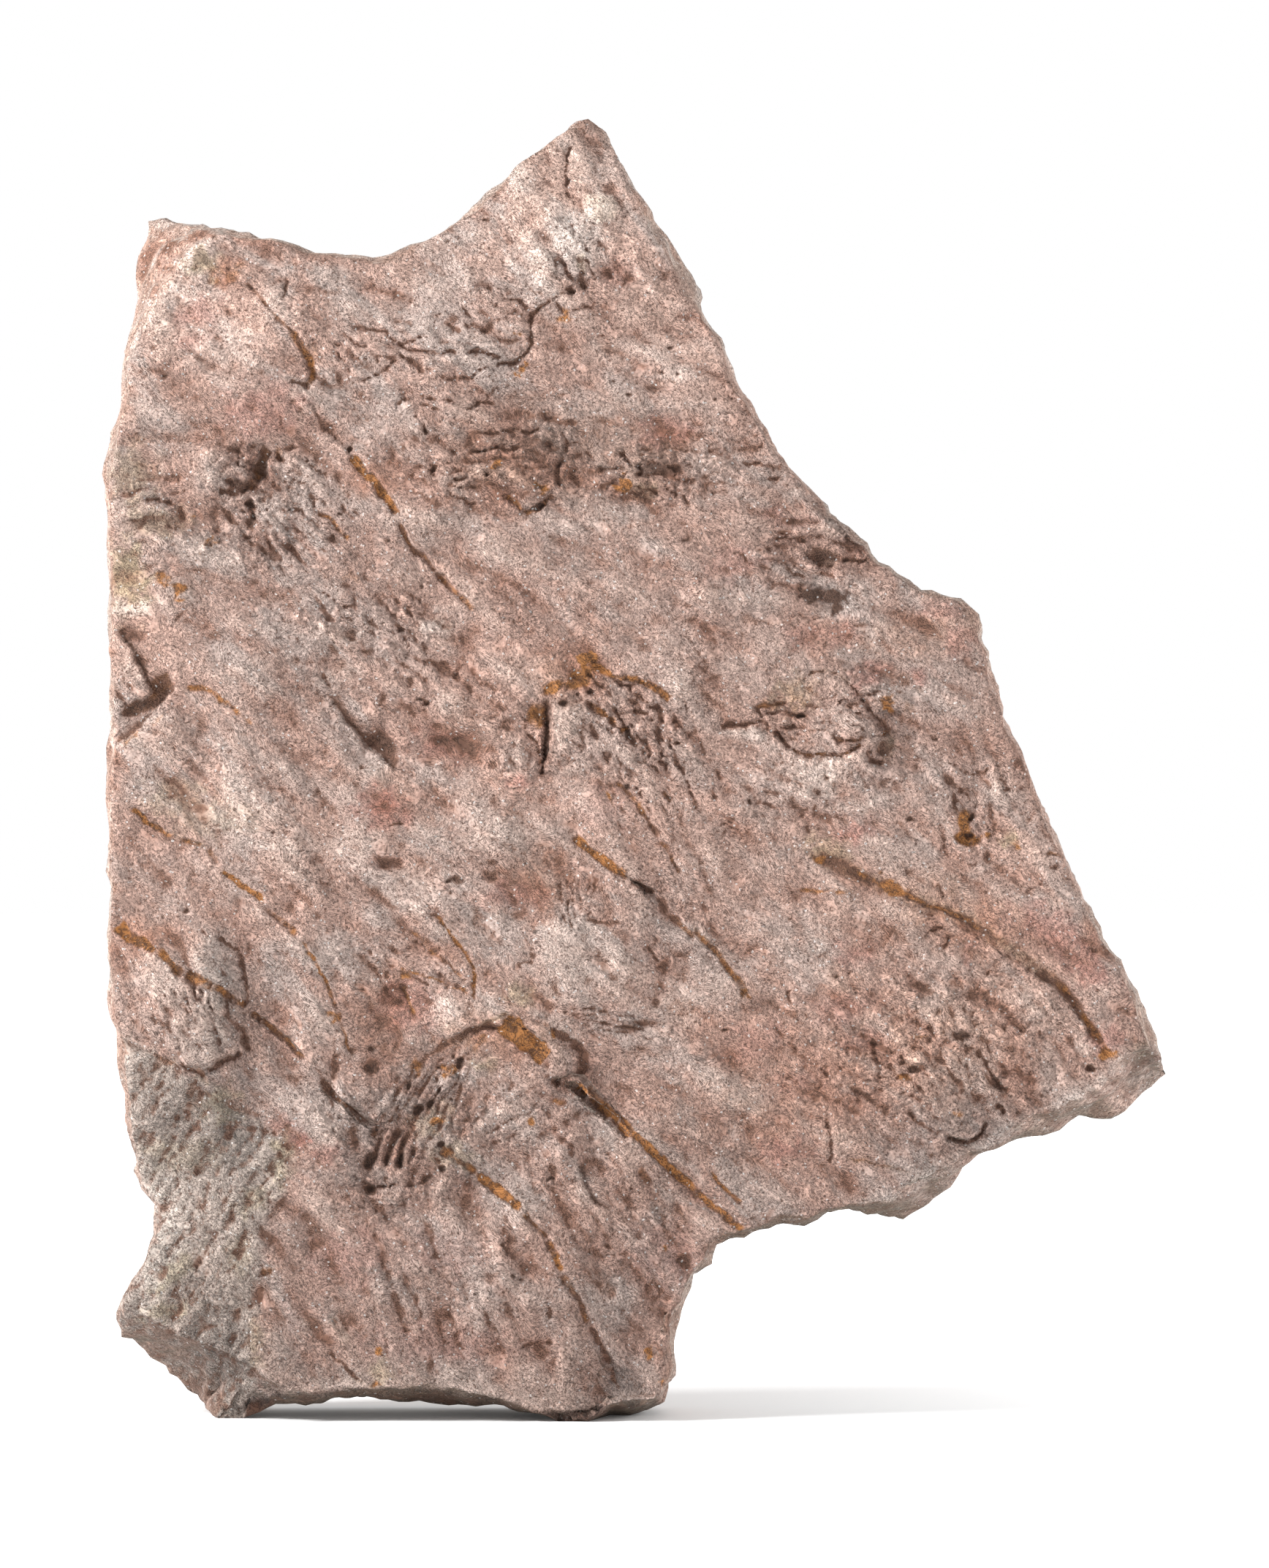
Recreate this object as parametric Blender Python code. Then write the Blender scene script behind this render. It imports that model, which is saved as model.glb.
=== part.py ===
# A fossil crinoid plate: one broken slab of sandstone that stands on its two feet.
#
# Units are metres with +Z up. The fossil face looks along -Y, and +X is to its right.
# The origin is on the surface that the slab stands on, under the middle of its box.
# The outline and the fossil moulds below are in millimetres, as seen square on from the
# front: x from the middle line, z from the floor.

from collections import namedtuple
from math import ceil, cos, exp, radians, sin

import bmesh
import bpy
from mathutils import Vector, noise
from mathutils.geometry import delaunay_2d_cdt

MM = 0.001

# Driving dimensions, in millimetres
THICKNESS = 46.0
ARRIS = 2.0             # width of the chipped edge where no side face shows
FACE_STEP = 8.5         # spacing of the fossil face's points
BACK_STEP = 13.0        # spacing of the back's points
RIM_STEP = 8.0          # spacing of the points along the outline
SHALLOWEST_GIRDLE = 6.0     # depth behind the face at which a square side is widest
DEEPEST_GIRDLE = 38.0
SOLE_HEIGHT = 2.5       # outline points lower than this stand on the floor
SOLE_BACK = 8.0         # distance of the soles from the back
SOLE_RISE = 4.0         # height of the back's edge above a sole
EDGE_SINK = 0.8         # how far the edges of the face and the back lie below them
GIRDLE_LAG = 1.8        # further depth of the girdle for each millimetre of slanting side face
BROW_ALONG = 0.45       # place of the brow between the face's edge and the girdle, seen from the front
BROW_DOWN = 0.38        # the same in depth, so that the edge is rounded
BROW_WANDER = 0.1
FLANK_INSET = 1.5       # how far the side draws in behind the girdle
FLANK_DROP = 3.0        # least depth of the flank behind the girdle
BACK_INSET = 6.0        # how far the back's edge lies inside the girdle
BACK_WANDER = 2.0
LOWEST_FLANK = 1.5      # where the side passes over the floor without touching it
LOWEST_BACK = 3.0

# The outline is as seen from here, so what lies deeper is a little larger than it looks
EYE_DISTANCE = 1800.0
EYE_HEIGHT = 210.6

# Rises and falls of the surfaces: height and size in millimetres, and where the noise is read
Swell = namedtuple("Swell", "height size place")
FACE_SWELLS = [Swell(1.1, 55.0, 3.0), Swell(0.5, 17.0, 9.0)]
SPALL_SWELL = Swell(0.7, 9.0, 1.0)
BACK_SWELL = Swell(1.6, 80.0, 40.0)
TERRACE_SWELL = Swell(1.0, 120.0, 60.0)
SIDE_SWELL = Swell(1.0, 12.0, 70.0)
RIM_CHIPS = Swell(0.9, 7.0, 20.0)
JOG_ACROSS = Swell(0.25, 3.3, 5.0)      # these two are shares of the grid's step
JOG_UP = Swell(0.25, 3.1, 8.0)

# The back's terraces: the level of the terrace swell at which one starts, and its drop
TERRACES = [(0.80, 1.8), (0.30, 1.4)]
TERRACE_TILT = 0.002    # how much more of the terraces there is with each millimetre of height
TERRACE_EDGE = 30.0     # steepness of a terrace's edge

FORM_FALL = 1.4         # how fast a form of the face falls off from its middle
RIM_CLEARANCE = 0.55    # gap between the grid's points and the rim, as a share of the step
STEM_CLEARANCE = 0.3    # the same for the lines of the stems

STONE_COLOUR = (0.40, 0.29, 0.25, 1.0)
STONE_ROUGHNESS = 0.95
SMOOTH_BELOW = 35       # degrees between triangles that are still shaded as one surface

# The outline, clockwise from the peak. A point is the silhouette's x and z, then, where a
# broken side face shows, the x and z of the face's edge in front of it, then, where the
# shape calls for it, the depth at which the silhouette lies.
RIGHT_SHOULDER = [
    (-15, 430), (-9, 426, -11, 424), (-5, 417, -6, 417), (1, 407, -2, 406), (7, 396, 4, 396),
    (14, 386, 9, 385), (20, 376, 15, 374), (24, 367, 22, 366), (28, 357), (34, 344), (43, 330),
    (47, 320), (59, 305), (64, 300), (77, 290), (81, 284), (87, 280), (95, 275), (108, 272),
]
RIGHT_FLANK = [
    (113, 266), (120, 242), (128, 218), (137, 199), (155, 160), (166, 141), (171, 130, 168, 129),
]
LOWER_RIGHT_CORNER = [
    (174, 120, 170, 124), (175, 115, 163, 122), (171, 111, 158, 119), (165, 107, 153, 115),
    (157, 101, 146, 109), (147, 100, 138, 104), (133, 95, 129, 100), (120, 92, 119, 94),
    (112, 87, 112, 90), (106, 80, 104, 86), (102, 76, 97, 82), (89, 67, 85, 76), (79, 68, 77, 73),
]
NOTCH = [
    (71, 70), (65, 69), (56, 66), (47, 66), (36, 62), (27, 59), (26, 52, 23, 54), (21, 48, 18, 49),
    (18, 40, 14, 40), (13, 27, 9, 27), (13, 19, 9, 19),
]
RIGHT_FOOT = [
    (10, 7, 8, 8, 30), (-1, 2, 0, 7, 21), (-8, 2, -8, 6, 21), (-15, 0, -15, 1.5, 3),
    (-25, 1, -24, 2.5, 3),
]
ARCH = [
    (-33, 3, -32, 4, 10), (-43, 5, -43, 7), (-61, 6, -61, 12), (-74, 8, -74, 13), (-88, 8, -88, 11),
    (-105, 7, -105, 10), (-118, 6, -114, 11, 12),
]
LEFT_FOOT = [
    (-129, 1, -121, 16, 12), (-137, 1, -126, 18, 12), (-147, 11, -130, 22), (-154, 19, -139, 26),
    (-163, 26, -150, 30), (-169, 28, -163, 35), (-171, 36, -168, 38),
]
LEFT_FLANK = [
    (-169, 42), (-162, 52), (-158, 62), (-158, 72), (-165, 83), (-167, 99), (-169, 118),
    (-172, 133), (-174, 160), (-174, 211), (-173, 242), (-174, 305), (-173, 320), (-169, 339),
]
TOP_LEFT_CORNER = [
    (-166, 359, -164, 356), (-165, 374, -156, 372), (-162, 388, -149, 382),
    (-160, 396, -143, 388), (-152, 397, -139, 392), (-139, 394, -132, 392),
]
TOP_SADDLE = [
    (-127, 392), (-105, 386), (-92, 384), (-80, 385), (-67, 391), (-55, 399), (-47, 407),
    (-35, 417), (-21, 428),
]
OUTLINE = (RIGHT_SHOULDER + RIGHT_FLANK + LOWER_RIGHT_CORNER + NOTCH + RIGHT_FOOT + ARCH
           + LEFT_FOOT + LEFT_FLANK + TOP_LEFT_CORNER + TOP_SADDLE)

# Crinoid stems left straight or curved channels in the face: width, depth and course
STEMS = {
    "top left stem": (3.4, 1.8, [(-128, 377), (-122, 369), (-114, 362), (-108, 354), (-107, 342)]),
    "upper stem": (3.6, 2.2, [(-94, 320), (-85, 311), (-80, 304), (-72, 289), (-65, 281), (-52, 269)]),
    "left stem": (3.2, 1.2, [(-164, 201), (-152, 194), (-141, 190), (-131, 180), (-119, 167),
                             (-106, 153), (-101, 144), (-94, 125)]),
    "left edge stem": (4.2, 2.6, [(-165, 160), (-157, 156), (-145, 145), (-135, 141), (-119, 129),
                                  (-110, 120), (-102, 112), (-96, 106), (-87, 98)]),
    "middle stem": (4.0, 2.4, [(-19, 193), (-12, 187), (-6, 182), (3, 176)]),
    "lower middle stem": (3.4, 1.8, [(13, 168), (23, 157), (31, 148), (38, 142)]),
    "right stem": (8.0, 1.6, [(64, 186), (84, 177), (108, 167), (118, 160), (139, 143), (148, 133),
                              (154, 124)]),
    "broad stem": (7.5, 3.4, [(-45, 134), (-39, 130), (-31, 123)]),
    "long stem": (3.6, 2.4, [(-20, 112), (-1, 95), (9, 85), (20, 77), (31, 68)]),
    "foot stem": (4.0, 1.8, [(-61, 88), (-52, 82), (-43, 76), (-37, 69), (-29, 60), (-23, 50),
                             (-18, 40), (-11, 26), (-8, 18)]),
}

# Crowns and other rises or hollows of the face: x, z, half length, half width, the turn of
# the length from the x axis in degrees, and the height, which is negative for a hollow
Form = namedtuple("Form", "x z length width turn height")
FACE_FORMS = [
    Form(-43, 356, 24, 13, -20, -2.6),      # top crown
    Form(-14, 390, 20, 8, 80, 2.4),         # lobes below the peak
    Form(-3, 362, 9, 6, 30, -2.0),
    Form(-37, 314, 25, 12, -5, -3.2),       # upper crown
    Form(-118, 310, 16, 10, 30, -2.6),      # left crown
    Form(-98, 296, 14, 6, -35, 1.8),
    Form(-158, 246, 14, 6, -70, -3.4),      # crown cut by the left edge
    Form(-25, 231, 14, 13, 0, -2.2),        # middle crown
    Form(2, 216, 22, 9, -60, 1.6),
    Form(67, 231, 15, 11, 0, 1.6),          # ring crown
    Form(112, 197, 9, 6, 60, -2.6),
    Form(-144, 136, 20, 14, 60, 3.0),       # raised lobes at the left
    Form(-127, 140, 10, 4, 80, -2.4),
    Form(-21, 146, 20, 14, 0, 1.8),
    Form(-25, 119, 8, 5, -40, 2.4),         # overhang at the broad stem
    Form(-72, 110, 18, 9, 60, -2.2),        # arm fan
    Form(-80, 92, 14, 9, 0, -3.4),
    Form(109, 92, 8, 5, 0, -2.4),
    Form(115, 110, 30, 14, 40, 1.8),
    Form(-60, 225, 40, 18, -20, 1.6),       # broad swells of the bedding
    Form(60, 290, 45, 22, -40, -1.8),
    Form(-100, 230, 45, 25, 0, -1.4),
    Form(30, 120, 50, 25, -30, 1.6),
    Form(-70, 50, 50, 20, 0, 1.4),
]

# The coarse broken patch at the lower left is set back from the rest of the face. This is
# its upper right border, from the left edge to the arch.
SPALL_BORDER = [
    (-176, 128), (-148, 115), (-135, 105), (-122, 96), (-114, 91), (-115, 77), (-122, 56),
    (-121, 39), (-123, 10),
]
SPALL_STEP = 1.2        # drop at the border
SPALL_SLOPE = 0.09      # further drop for each millimetre from the border
SPALL_DEEPEST = 4.5
SPALL_RIGHT = -113.0    # no part of it lies further right

Rim = namedtuple("Rim", "girdle crest depth sole")


def rise(swell, point):
    """Height of a swell at a point, positive or negative."""
    return swell.height * noise.noise(Vector((point.x, swell.place, point.y)) / swell.size)


def distance_to_course(point, course):
    """Shortest distance in the plane of the face from a point to a line of points."""
    shortest = None
    for start, end in zip(course, course[1:]):
        run = Vector(end) - Vector(start)
        share = (point - Vector(start)).dot(run) / run.length_squared
        share = min(max(share, 0.0), 1.0)
        distance = (point - Vector(start) - run * share).length
        if shortest is None or distance < shortest:
            shortest = distance
    return shortest


def in_spall(point):
    """Whether a point lies on the lower left side of the broken patch's border."""
    border = SPALL_BORDER
    if point.y > border[0][1] or point.x > SPALL_RIGHT:
        return False
    for start, end in zip(border, border[1:]):
        if end[1] <= point.y <= start[1]:
            share = (point.y - start[1]) / (end[1] - start[1])
            return point.x < start[0] + share * (end[0] - start[0])
    return False


def face_height(point):
    """Height of the fossil face above its mean plane, in millimetres."""
    height = sum(rise(swell, point) for swell in FACE_SWELLS)
    for form in FACE_FORMS:
        turn = radians(form.turn)
        offset = point - Vector((form.x, form.z))
        along = (offset.x * cos(turn) + offset.y * sin(turn)) / form.length
        across = (offset.y * cos(turn) - offset.x * sin(turn)) / form.width
        height += form.height * exp(-FORM_FALL * (along * along + across * across))
    for width, depth, course in STEMS.values():
        reach = distance_to_course(point, course) / (0.5 * width)
        height -= depth * max(0.0, 1.0 - reach)
    if in_spall(point):
        drop = SPALL_STEP + SPALL_SLOPE * distance_to_course(point, SPALL_BORDER)
        height -= min(drop, SPALL_DEEPEST) + rise(SPALL_SWELL, point)
    return height


def back_height(point):
    """Height of the back above its mean plane: shallow terraces of the bedding."""
    height = rise(BACK_SWELL, point)
    reached = rise(TERRACE_SWELL, point) + TERRACE_TILT * point.y
    for level, drop in TERRACES:
        height -= drop / (1.0 + exp(-TERRACE_EDGE * (reached - level)))
    return height


def grown(x, z, depth):
    """Real place of an outline point that lies this far behind the face."""
    growth = 1.0 + depth / EYE_DISTANCE
    return Vector((x * growth, EYE_HEIGHT + (z - EYE_HEIGHT) * growth))


def inward(before, after):
    """Unit vector into the slab at an outline point, from its two neighbours."""
    along = Vector(after) - Vector(before)
    return Vector((along.y, -along.x)).normalized()


def read_outline():
    """The outline's points as rims: silhouette, face edge, depth and whether it's a sole."""
    rims = []
    for index, values in enumerate(OUTLINE):
        girdle = Vector(values[:2])
        before = OUTLINE[index - 1][:2]
        after = OUTLINE[(index + 1) % len(OUTLINE)][:2]
        if len(values) > 2:
            crest = Vector(values[2:4])
        else:
            crest = girdle + inward(before, after) * ARRIS
        reach = (crest - girdle).length
        depth = min(SHALLOWEST_GIRDLE + GIRDLE_LAG * reach, DEEPEST_GIRDLE)
        if len(values) > 4:
            depth = values[4]
        rims.append(Rim(girdle, crest, depth, girdle.y < SOLE_HEIGHT))
    return rims


def spread_rims(rims):
    """Add points between the outline's own, each set a little off the straight line."""
    spread = []
    for start, end in zip(rims, rims[1:] + rims[:1]):
        count = max(1, ceil((end.girdle - start.girdle).length / RIM_STEP))
        for part in range(count):
            share = part / count
            girdle = start.girdle.lerp(end.girdle, share)
            crest = start.crest.lerp(end.crest, share)
            depth = start.depth + share * (end.depth - start.depth)
            sole = start.sole and (part == 0 or end.sole)
            if part and not sole:
                out = inward(start.girdle, end.girdle) * -1.0
                chip = rise(RIM_CHIPS, girdle)
                girdle = girdle + out * chip
                crest = crest + out * chip
            spread.append(Rim(girdle, crest, depth, sole))
    return spread


def side_rows(rims):
    """The rings of points from the fossil face's edge round the side to the back's edge."""
    crest_row, brow_row, girdle_row, flank_row, back_row = [], [], [], [], []
    for index, rim in enumerate(rims):
        before = rims[index - 3].girdle
        after = rims[(index + 3) % len(rims)].girdle
        inside = inward(before, after)
        girdle = grown(rim.girdle.x, rim.girdle.y, rim.depth)
        rough = rise(SIDE_SWELL, girdle)
        flank = girdle + inside * FLANK_INSET * (1.0 + rough)
        back = girdle + inside * (BACK_INSET + BACK_WANDER * rough)
        flank_depth = max(rim.depth + FLANK_DROP, 0.5 * (rim.depth + THICKNESS))
        if rim.sole:
            girdle.y = 0.0
            flank = Vector((girdle.x, 0.0))
            back = Vector((girdle.x, SOLE_RISE))
            flank_depth = THICKNESS - SOLE_BACK
        flank.y = max(flank.y, 0.0 if rim.sole else LOWEST_FLANK)
        back.y = max(back.y, LOWEST_BACK)
        crest_depth = EDGE_SINK - face_height(rim.crest)
        brow = rim.crest.lerp(girdle, BROW_ALONG)
        brow_share = BROW_DOWN + BROW_WANDER * rough
        brow_depth = crest_depth + (rim.depth - crest_depth) * brow_share
        crest_row.append((rim.crest, crest_depth))
        brow_row.append((brow, brow_depth))
        girdle_row.append((girdle, rim.depth))
        flank_row.append((flank, flank_depth))
        back_row.append((back, THICKNESS - EDGE_SINK + back_height(back)))
    return crest_row, brow_row, girdle_row, flank_row, back_row


def stem_lines():
    """Both rims and the floor of every stem channel, as lines of points in the face."""
    lines = []
    for width, _, course in STEMS.values():
        for side in (-0.5, 0.0, 0.5):
            line = []
            for index, place in enumerate(course):
                before = course[max(index - 1, 0)]
                after = course[min(index + 1, len(course) - 1)]
                line.append(Vector(place) + inward(before, after) * side * width)
            lines.append(line)
    return lines


def in_ring(point, ring):
    """Whether a point lies inside a closed ring of points."""
    inside = False
    for start, end in zip(ring, ring[1:] + ring[:1]):
        if (start.y > point.y) != (end.y > point.y):
            crossing = start.x + (point.y - start.y) / (end.y - start.y) * (end.x - start.x)
            inside ^= point.x < crossing
    return inside


def filled(ring, step, lines):
    """Triangles that fill a ring, with a jogged grid of points and the given lines in them.

    Returns the points, with the ring's own first and in order, and the triangles.
    """
    points = list(ring)
    edges = [(index, (index + 1) % len(ring)) for index in range(len(ring))]
    for line in lines:
        first = len(points)
        points += line
        edges += [(first + index, first + index + 1) for index in range(len(line) - 1)]
    closed = ring + ring[:1]
    low_x, high_x = min(p.x for p in ring), max(p.x for p in ring)
    low_z, high_z = min(p.y for p in ring), max(p.y for p in ring)
    row_step = step * 0.87
    for row in range(ceil((high_z - low_z) / row_step)):
        for column in range(ceil((high_x - low_x) / step) + 1):
            place = Vector((low_x + (column + 0.5 * (row % 2)) * step, low_z + row * row_step))
            place += Vector((rise(JOG_ACROSS, place), rise(JOG_UP, place))) * step
            if not in_ring(place, ring):
                continue
            if distance_to_course(place, closed) < RIM_CLEARANCE * step:
                continue
            if all(distance_to_course(place, line) > STEM_CLEARANCE * step for line in lines):
                points.append(place)
    found = delaunay_2d_cdt(points, edges, [], 0, 0.0001, True)
    places, triangles, sources = found[0], found[2], found[3]
    triangles = [triangle for triangle in triangles
                 if in_ring(sum((places[corner] for corner in triangle), Vector((0, 0))) / 3, ring)]
    order = {}
    for index, source in enumerate(sources):
        for original in source:
            if original < len(ring):
                order[index] = original
    spare = len(ring)
    for index in range(len(places)):
        if index not in order:
            order[index] = spare
            spare += 1
    arranged = [None] * spare
    for index, place in enumerate(places):
        arranged[order[index]] = place
    return arranged, [[order[corner] for corner in triangle] for triangle in triangles]


def add_fill(mesh, ring_verts, ring, step, lines, depth_of):
    """Fill a ring of the mesh's vertices with triangles at the depths that a rule gives."""
    places, triangles = filled(ring, step, lines)
    verts = list(ring_verts)
    for place in places[len(ring):]:
        verts.append(mesh.verts.new((place.x, depth_of(place), place.y)))
    for triangle in triangles:
        mesh.faces.new([verts[corner] for corner in triangle])


def add_rows(mesh, rows):
    """Vertices of the side's rings, joined to each other by bands of triangles."""
    rings = [[mesh.verts.new((place.x, depth, place.y)) for place, depth in row] for row in rows]
    count = len(rings[0])
    for near, far in zip(rings, rings[1:]):
        for index in range(count):
            following = (index + 1) % count
            mesh.faces.new((near[index], near[following], far[following], far[index]))
    return rings


def stand_on_origin(mesh):
    """Scale to metres and move the slab so that the origin is under the middle of its box."""
    for axis in range(3):
        low = min(vert.co[axis] for vert in mesh.verts)
        high = max(vert.co[axis] for vert in mesh.verts)
        middle = low if axis == 2 else 0.5 * (low + high)
        for vert in mesh.verts:
            vert.co[axis] = (vert.co[axis] - middle) * MM


def stone_material():
    material = bpy.data.materials.new("pinkish grey sandstone")
    material.use_nodes = True
    shader = material.node_tree.nodes["Principled BSDF"]
    shader.inputs["Base Color"].default_value = STONE_COLOUR
    shader.inputs["Roughness"].default_value = STONE_ROUGHNESS
    shader.inputs["Metallic"].default_value = 0.0
    return material


def build_slab():
    rims = spread_rims(read_outline())
    rows = side_rows(rims)
    mesh = bmesh.new()
    rings = add_rows(mesh, rows)
    crest = [place for place, _ in rows[0]]
    back = [place for place, _ in rows[-1]]
    add_fill(mesh, rings[0], crest, FACE_STEP, stem_lines(), lambda place: -face_height(place))
    add_fill(mesh, rings[-1], back, BACK_STEP, [], lambda place: THICKNESS + back_height(place))
    bmesh.ops.triangulate(mesh, faces=mesh.faces[:])
    bmesh.ops.recalc_face_normals(mesh, faces=mesh.faces[:])
    stand_on_origin(mesh)
    data = bpy.data.meshes.new("fossil_slab")
    mesh.to_mesh(data)
    mesh.free()
    data.materials.append(stone_material())
    slab = bpy.data.objects.new("fossil_slab", data)
    bpy.context.scene.collection.objects.link(slab)
    data.shade_smooth()
    data.set_sharp_from_angle(angle=radians(SMOOTH_BELOW))


for leftover in list(bpy.data.objects):
    bpy.data.objects.remove(leftover, do_unlink=True)
build_slab()
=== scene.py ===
import math

import bmesh
import bpy
import numpy as np
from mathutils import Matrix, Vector


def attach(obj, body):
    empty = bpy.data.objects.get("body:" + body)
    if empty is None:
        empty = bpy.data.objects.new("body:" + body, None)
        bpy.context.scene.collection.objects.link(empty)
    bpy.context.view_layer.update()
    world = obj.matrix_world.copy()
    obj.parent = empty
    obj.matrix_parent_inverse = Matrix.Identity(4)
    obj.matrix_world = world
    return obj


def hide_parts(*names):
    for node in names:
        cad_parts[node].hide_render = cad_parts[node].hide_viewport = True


# Fossil crinoid plate: a split slab of pinkish sandstone with the moulds of sea lilies.
# The CAD slab gives the size and the stance. Here its skin is cut again in fine detail.

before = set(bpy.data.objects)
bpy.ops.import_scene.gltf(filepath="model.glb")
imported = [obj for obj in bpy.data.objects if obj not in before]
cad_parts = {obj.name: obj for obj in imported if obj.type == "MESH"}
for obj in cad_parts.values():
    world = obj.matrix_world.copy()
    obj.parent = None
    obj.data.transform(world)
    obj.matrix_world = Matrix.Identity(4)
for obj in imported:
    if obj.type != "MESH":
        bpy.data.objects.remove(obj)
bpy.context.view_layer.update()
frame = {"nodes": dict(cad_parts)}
print("frame loaded:", ", ".join(frame["nodes"]))


# How the reference picture maps onto the plane of the fossil face
picture = {
    "mmPerPixel": 0.241,
    "middleColumn": 872.9,      # pixel column over the frame's origin
    "floorRow": 1946.0,         # pixel row of the floor under the face
    "columns": 1736,
    "rows": 2145,
}

# The plate, in millimetres
plate = {
    "facePlane": -21.84,        # mean Y of the fossil face
    "cell": 0.5,                # grid spacing of the maps that shape the face
    "xRange": (-190.0, 190.0),
    "zRange": (-8.0, 440.0),
    "edges": (0.45, 2.6),       # shortest and longest edges of the skin over the face
    "sideEdge": 4.5,
    "backEdge": 9.0,
    "faceTriangles": 158000,
    "perLength": 6.5,           # triangles in a square millimetre of edges 1 mm long at most
    "passes": 7,
    "crispAngle": 34.0,         # edges that turn more than this stay sharp
    "easing": 14,               # how often the CAD's channels are smoothed before they are cut again
    "eased": 4.0,               # how far behind the face its points still are
    "blurs": (2.2, 1.5, 8.0),   # blurs that tell hollows and vales from the ground around them
    "seed": 41,
}

mm = 0.001
lightRuns = (0.86, -0.5)            # the way that the light crosses the face, along X and Z

# How grooves, cracks and patches look, lengths in millimetres
marks = {
    "ribsApart": 1.9,           # ribs across a stem's groove
    "bedWaves": 6.0,            # from deep to shallow places along a groove
    "wander": 4.5,              # from wide to narrow places along a stem
    "crackWander": 2.2,
    "lipPlace": 1.45,           # where a groove's raised lip runs and how wide it is, in half widths
    "lipWidth": 0.35,
    "crackWiden": 1.2,          # cracks are cut wider and deeper than they were read
    "crackDeepen": 1.6,
    "ledgeReach": 3.2,          # how far beside its line a ledge works, in widths of its edge
    "tintWiden": 1.25,          # patches and swells fade out beyond the size that was read
    "washWiden": 1.7,
    "swellWiden": 1.8,
    "fanPoints": 40,
    "fanStray": 0.2,
    "armsWiden": 1.2,           # what the moulds of arms are widened, spread, drawn out and deepened by
    "armsApart": 1.25,
    "armsStretch": 5.0,
    "armsDeepen": 1.7,
    # pits are also painted darker inside: painted shade
    "pit": {"deep": 0.8, "dark": 0.75, "ragged": 0.9},
    "pitFlat": 0.7,
}


def onFace(column, row):
    x = (column - picture["middleColumn"]) * picture["mmPerPixel"]
    z = (picture["floorRow"] - row) * picture["mmPerPixel"]
    return x, z


# Noise

gradients = [(math.cos(turn), math.sin(turn)) for turn in np.arange(16) * math.pi / 8]
gradients3 = [(a, b, 0) for a in (-1, 1) for b in (-1, 1)]
gradients3 += [(a, 0, b) for a in (-1, 1) for b in (-1, 1)]
gradients3 += [(0, a, b) for a in (-1, 1) for b in (-1, 1)]
gradients3 += [(1, 1, 0), (-1, 1, 0), (0, -1, 1), (0, -1, -1)]


def cellHash(cells, seed):
    mixed = np.full(cells[0].shape, (seed * 2654435761 + 97) % 4294967296, np.uint32)
    for cell in cells:
        mixed ^= cell.astype(np.int64).astype(np.uint32)
        mixed *= np.uint32(2246822519)
        mixed ^= mixed >> np.uint32(13)
        mixed *= np.uint32(3266489917)
        mixed ^= mixed >> np.uint32(16)
    return mixed


def swell(coords, size, seed):  # gradient noise in 2 or 3 dimensions, about -1 to 1
    count = len(coords)
    table = np.array(gradients if count == 2 else gradients3, np.float32)
    scaled = [np.asarray(c, np.float32) / size + 1000.5 for c in coords]
    base = [np.floor(c) for c in scaled]
    part = [c - b for c, b in zip(scaled, base)]
    fade = [p * p * p * (p * (p * 6 - 15) + 10) for p in part]
    total = np.zeros_like(scaled[0])
    for corner in range(2 ** count):
        steps = [(corner >> axis) & 1 for axis in range(count)]
        pick = cellHash([b + s for b, s in zip(base, steps)], seed) & np.uint32(15)
        value = sum(table[pick, axis] * (part[axis] - steps[axis]) for axis in range(count))
        for axis in range(count):
            value = value * (fade[axis] if steps[axis] else 1 - fade[axis])
        total += value
    return total * 1.5


def layered(coords, size, seed, octaves=4, gain=0.5):
    total = 0
    weight = 1.0
    for octave in range(octaves):
        total = total + weight * swell(coords, size / 2 ** octave, seed + 17 * octave)
        weight *= gain
    return total


def ridged(coords, size, seed, octaves=3, gain=0.55):  # sharp crests that carry the finer ones, about 0 to 1.5
    total = 0
    weight = 1.0
    for octave in range(octaves):
        crest = (1 - np.minimum(np.abs(swell(coords, size / 2 ** octave, seed + 13 * octave)), 1)) ** 2 * weight
        total = total + crest * gain ** octave
        weight = np.clip(1.7 * crest, 0, 1)
    return total


def folded(coords, size, seed):  # rounded folds parted by narrow creases, 0 in a crease and 1 on a fold
    main = np.abs(swell(coords, size, seed))
    side = np.abs(swell(coords, size * 0.55, seed + 5))
    return ramp(0.0, 0.34, main) * (0.7 + 0.3 * ramp(0.0, 0.3, side))


def crumbs(coords, size, seed):  # cell noise: how far each place is from a grain's edge, and the grain's own value
    scaled = [np.asarray(c, np.float32) / size + 1000.0 for c in coords]
    base = [np.floor(c) for c in scaled]
    nearest = np.full(scaled[0].shape, 9.0, np.float32)
    second = nearest.copy()
    own = np.zeros_like(nearest)
    for stepX in (-1, 0, 1):
        for stepZ in (-1, 0, 1):
            picks = cellHash([base[0] + stepX, base[1] + stepZ], seed)
            jogX = (picks & np.uint32(1023)).astype(np.float32) / 1023
            jogZ = ((picks >> np.uint32(10)) & np.uint32(1023)).astype(np.float32) / 1023
            away = np.hypot(base[0] + stepX + jogX - scaled[0], base[1] + stepZ + jogZ - scaled[1])
            closer = away < nearest
            second = np.where(closer, nearest, np.minimum(second, away))
            own = np.where(closer, (picks >> np.uint32(20)).astype(np.float32) / 4095, own)
            nearest = np.where(closer, away, nearest)
    return second - nearest, own


def ramp(low, high, value):
    share = np.clip((value - low) / (high - low), 0, 1)
    return share * share * (3 - 2 * share)


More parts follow.
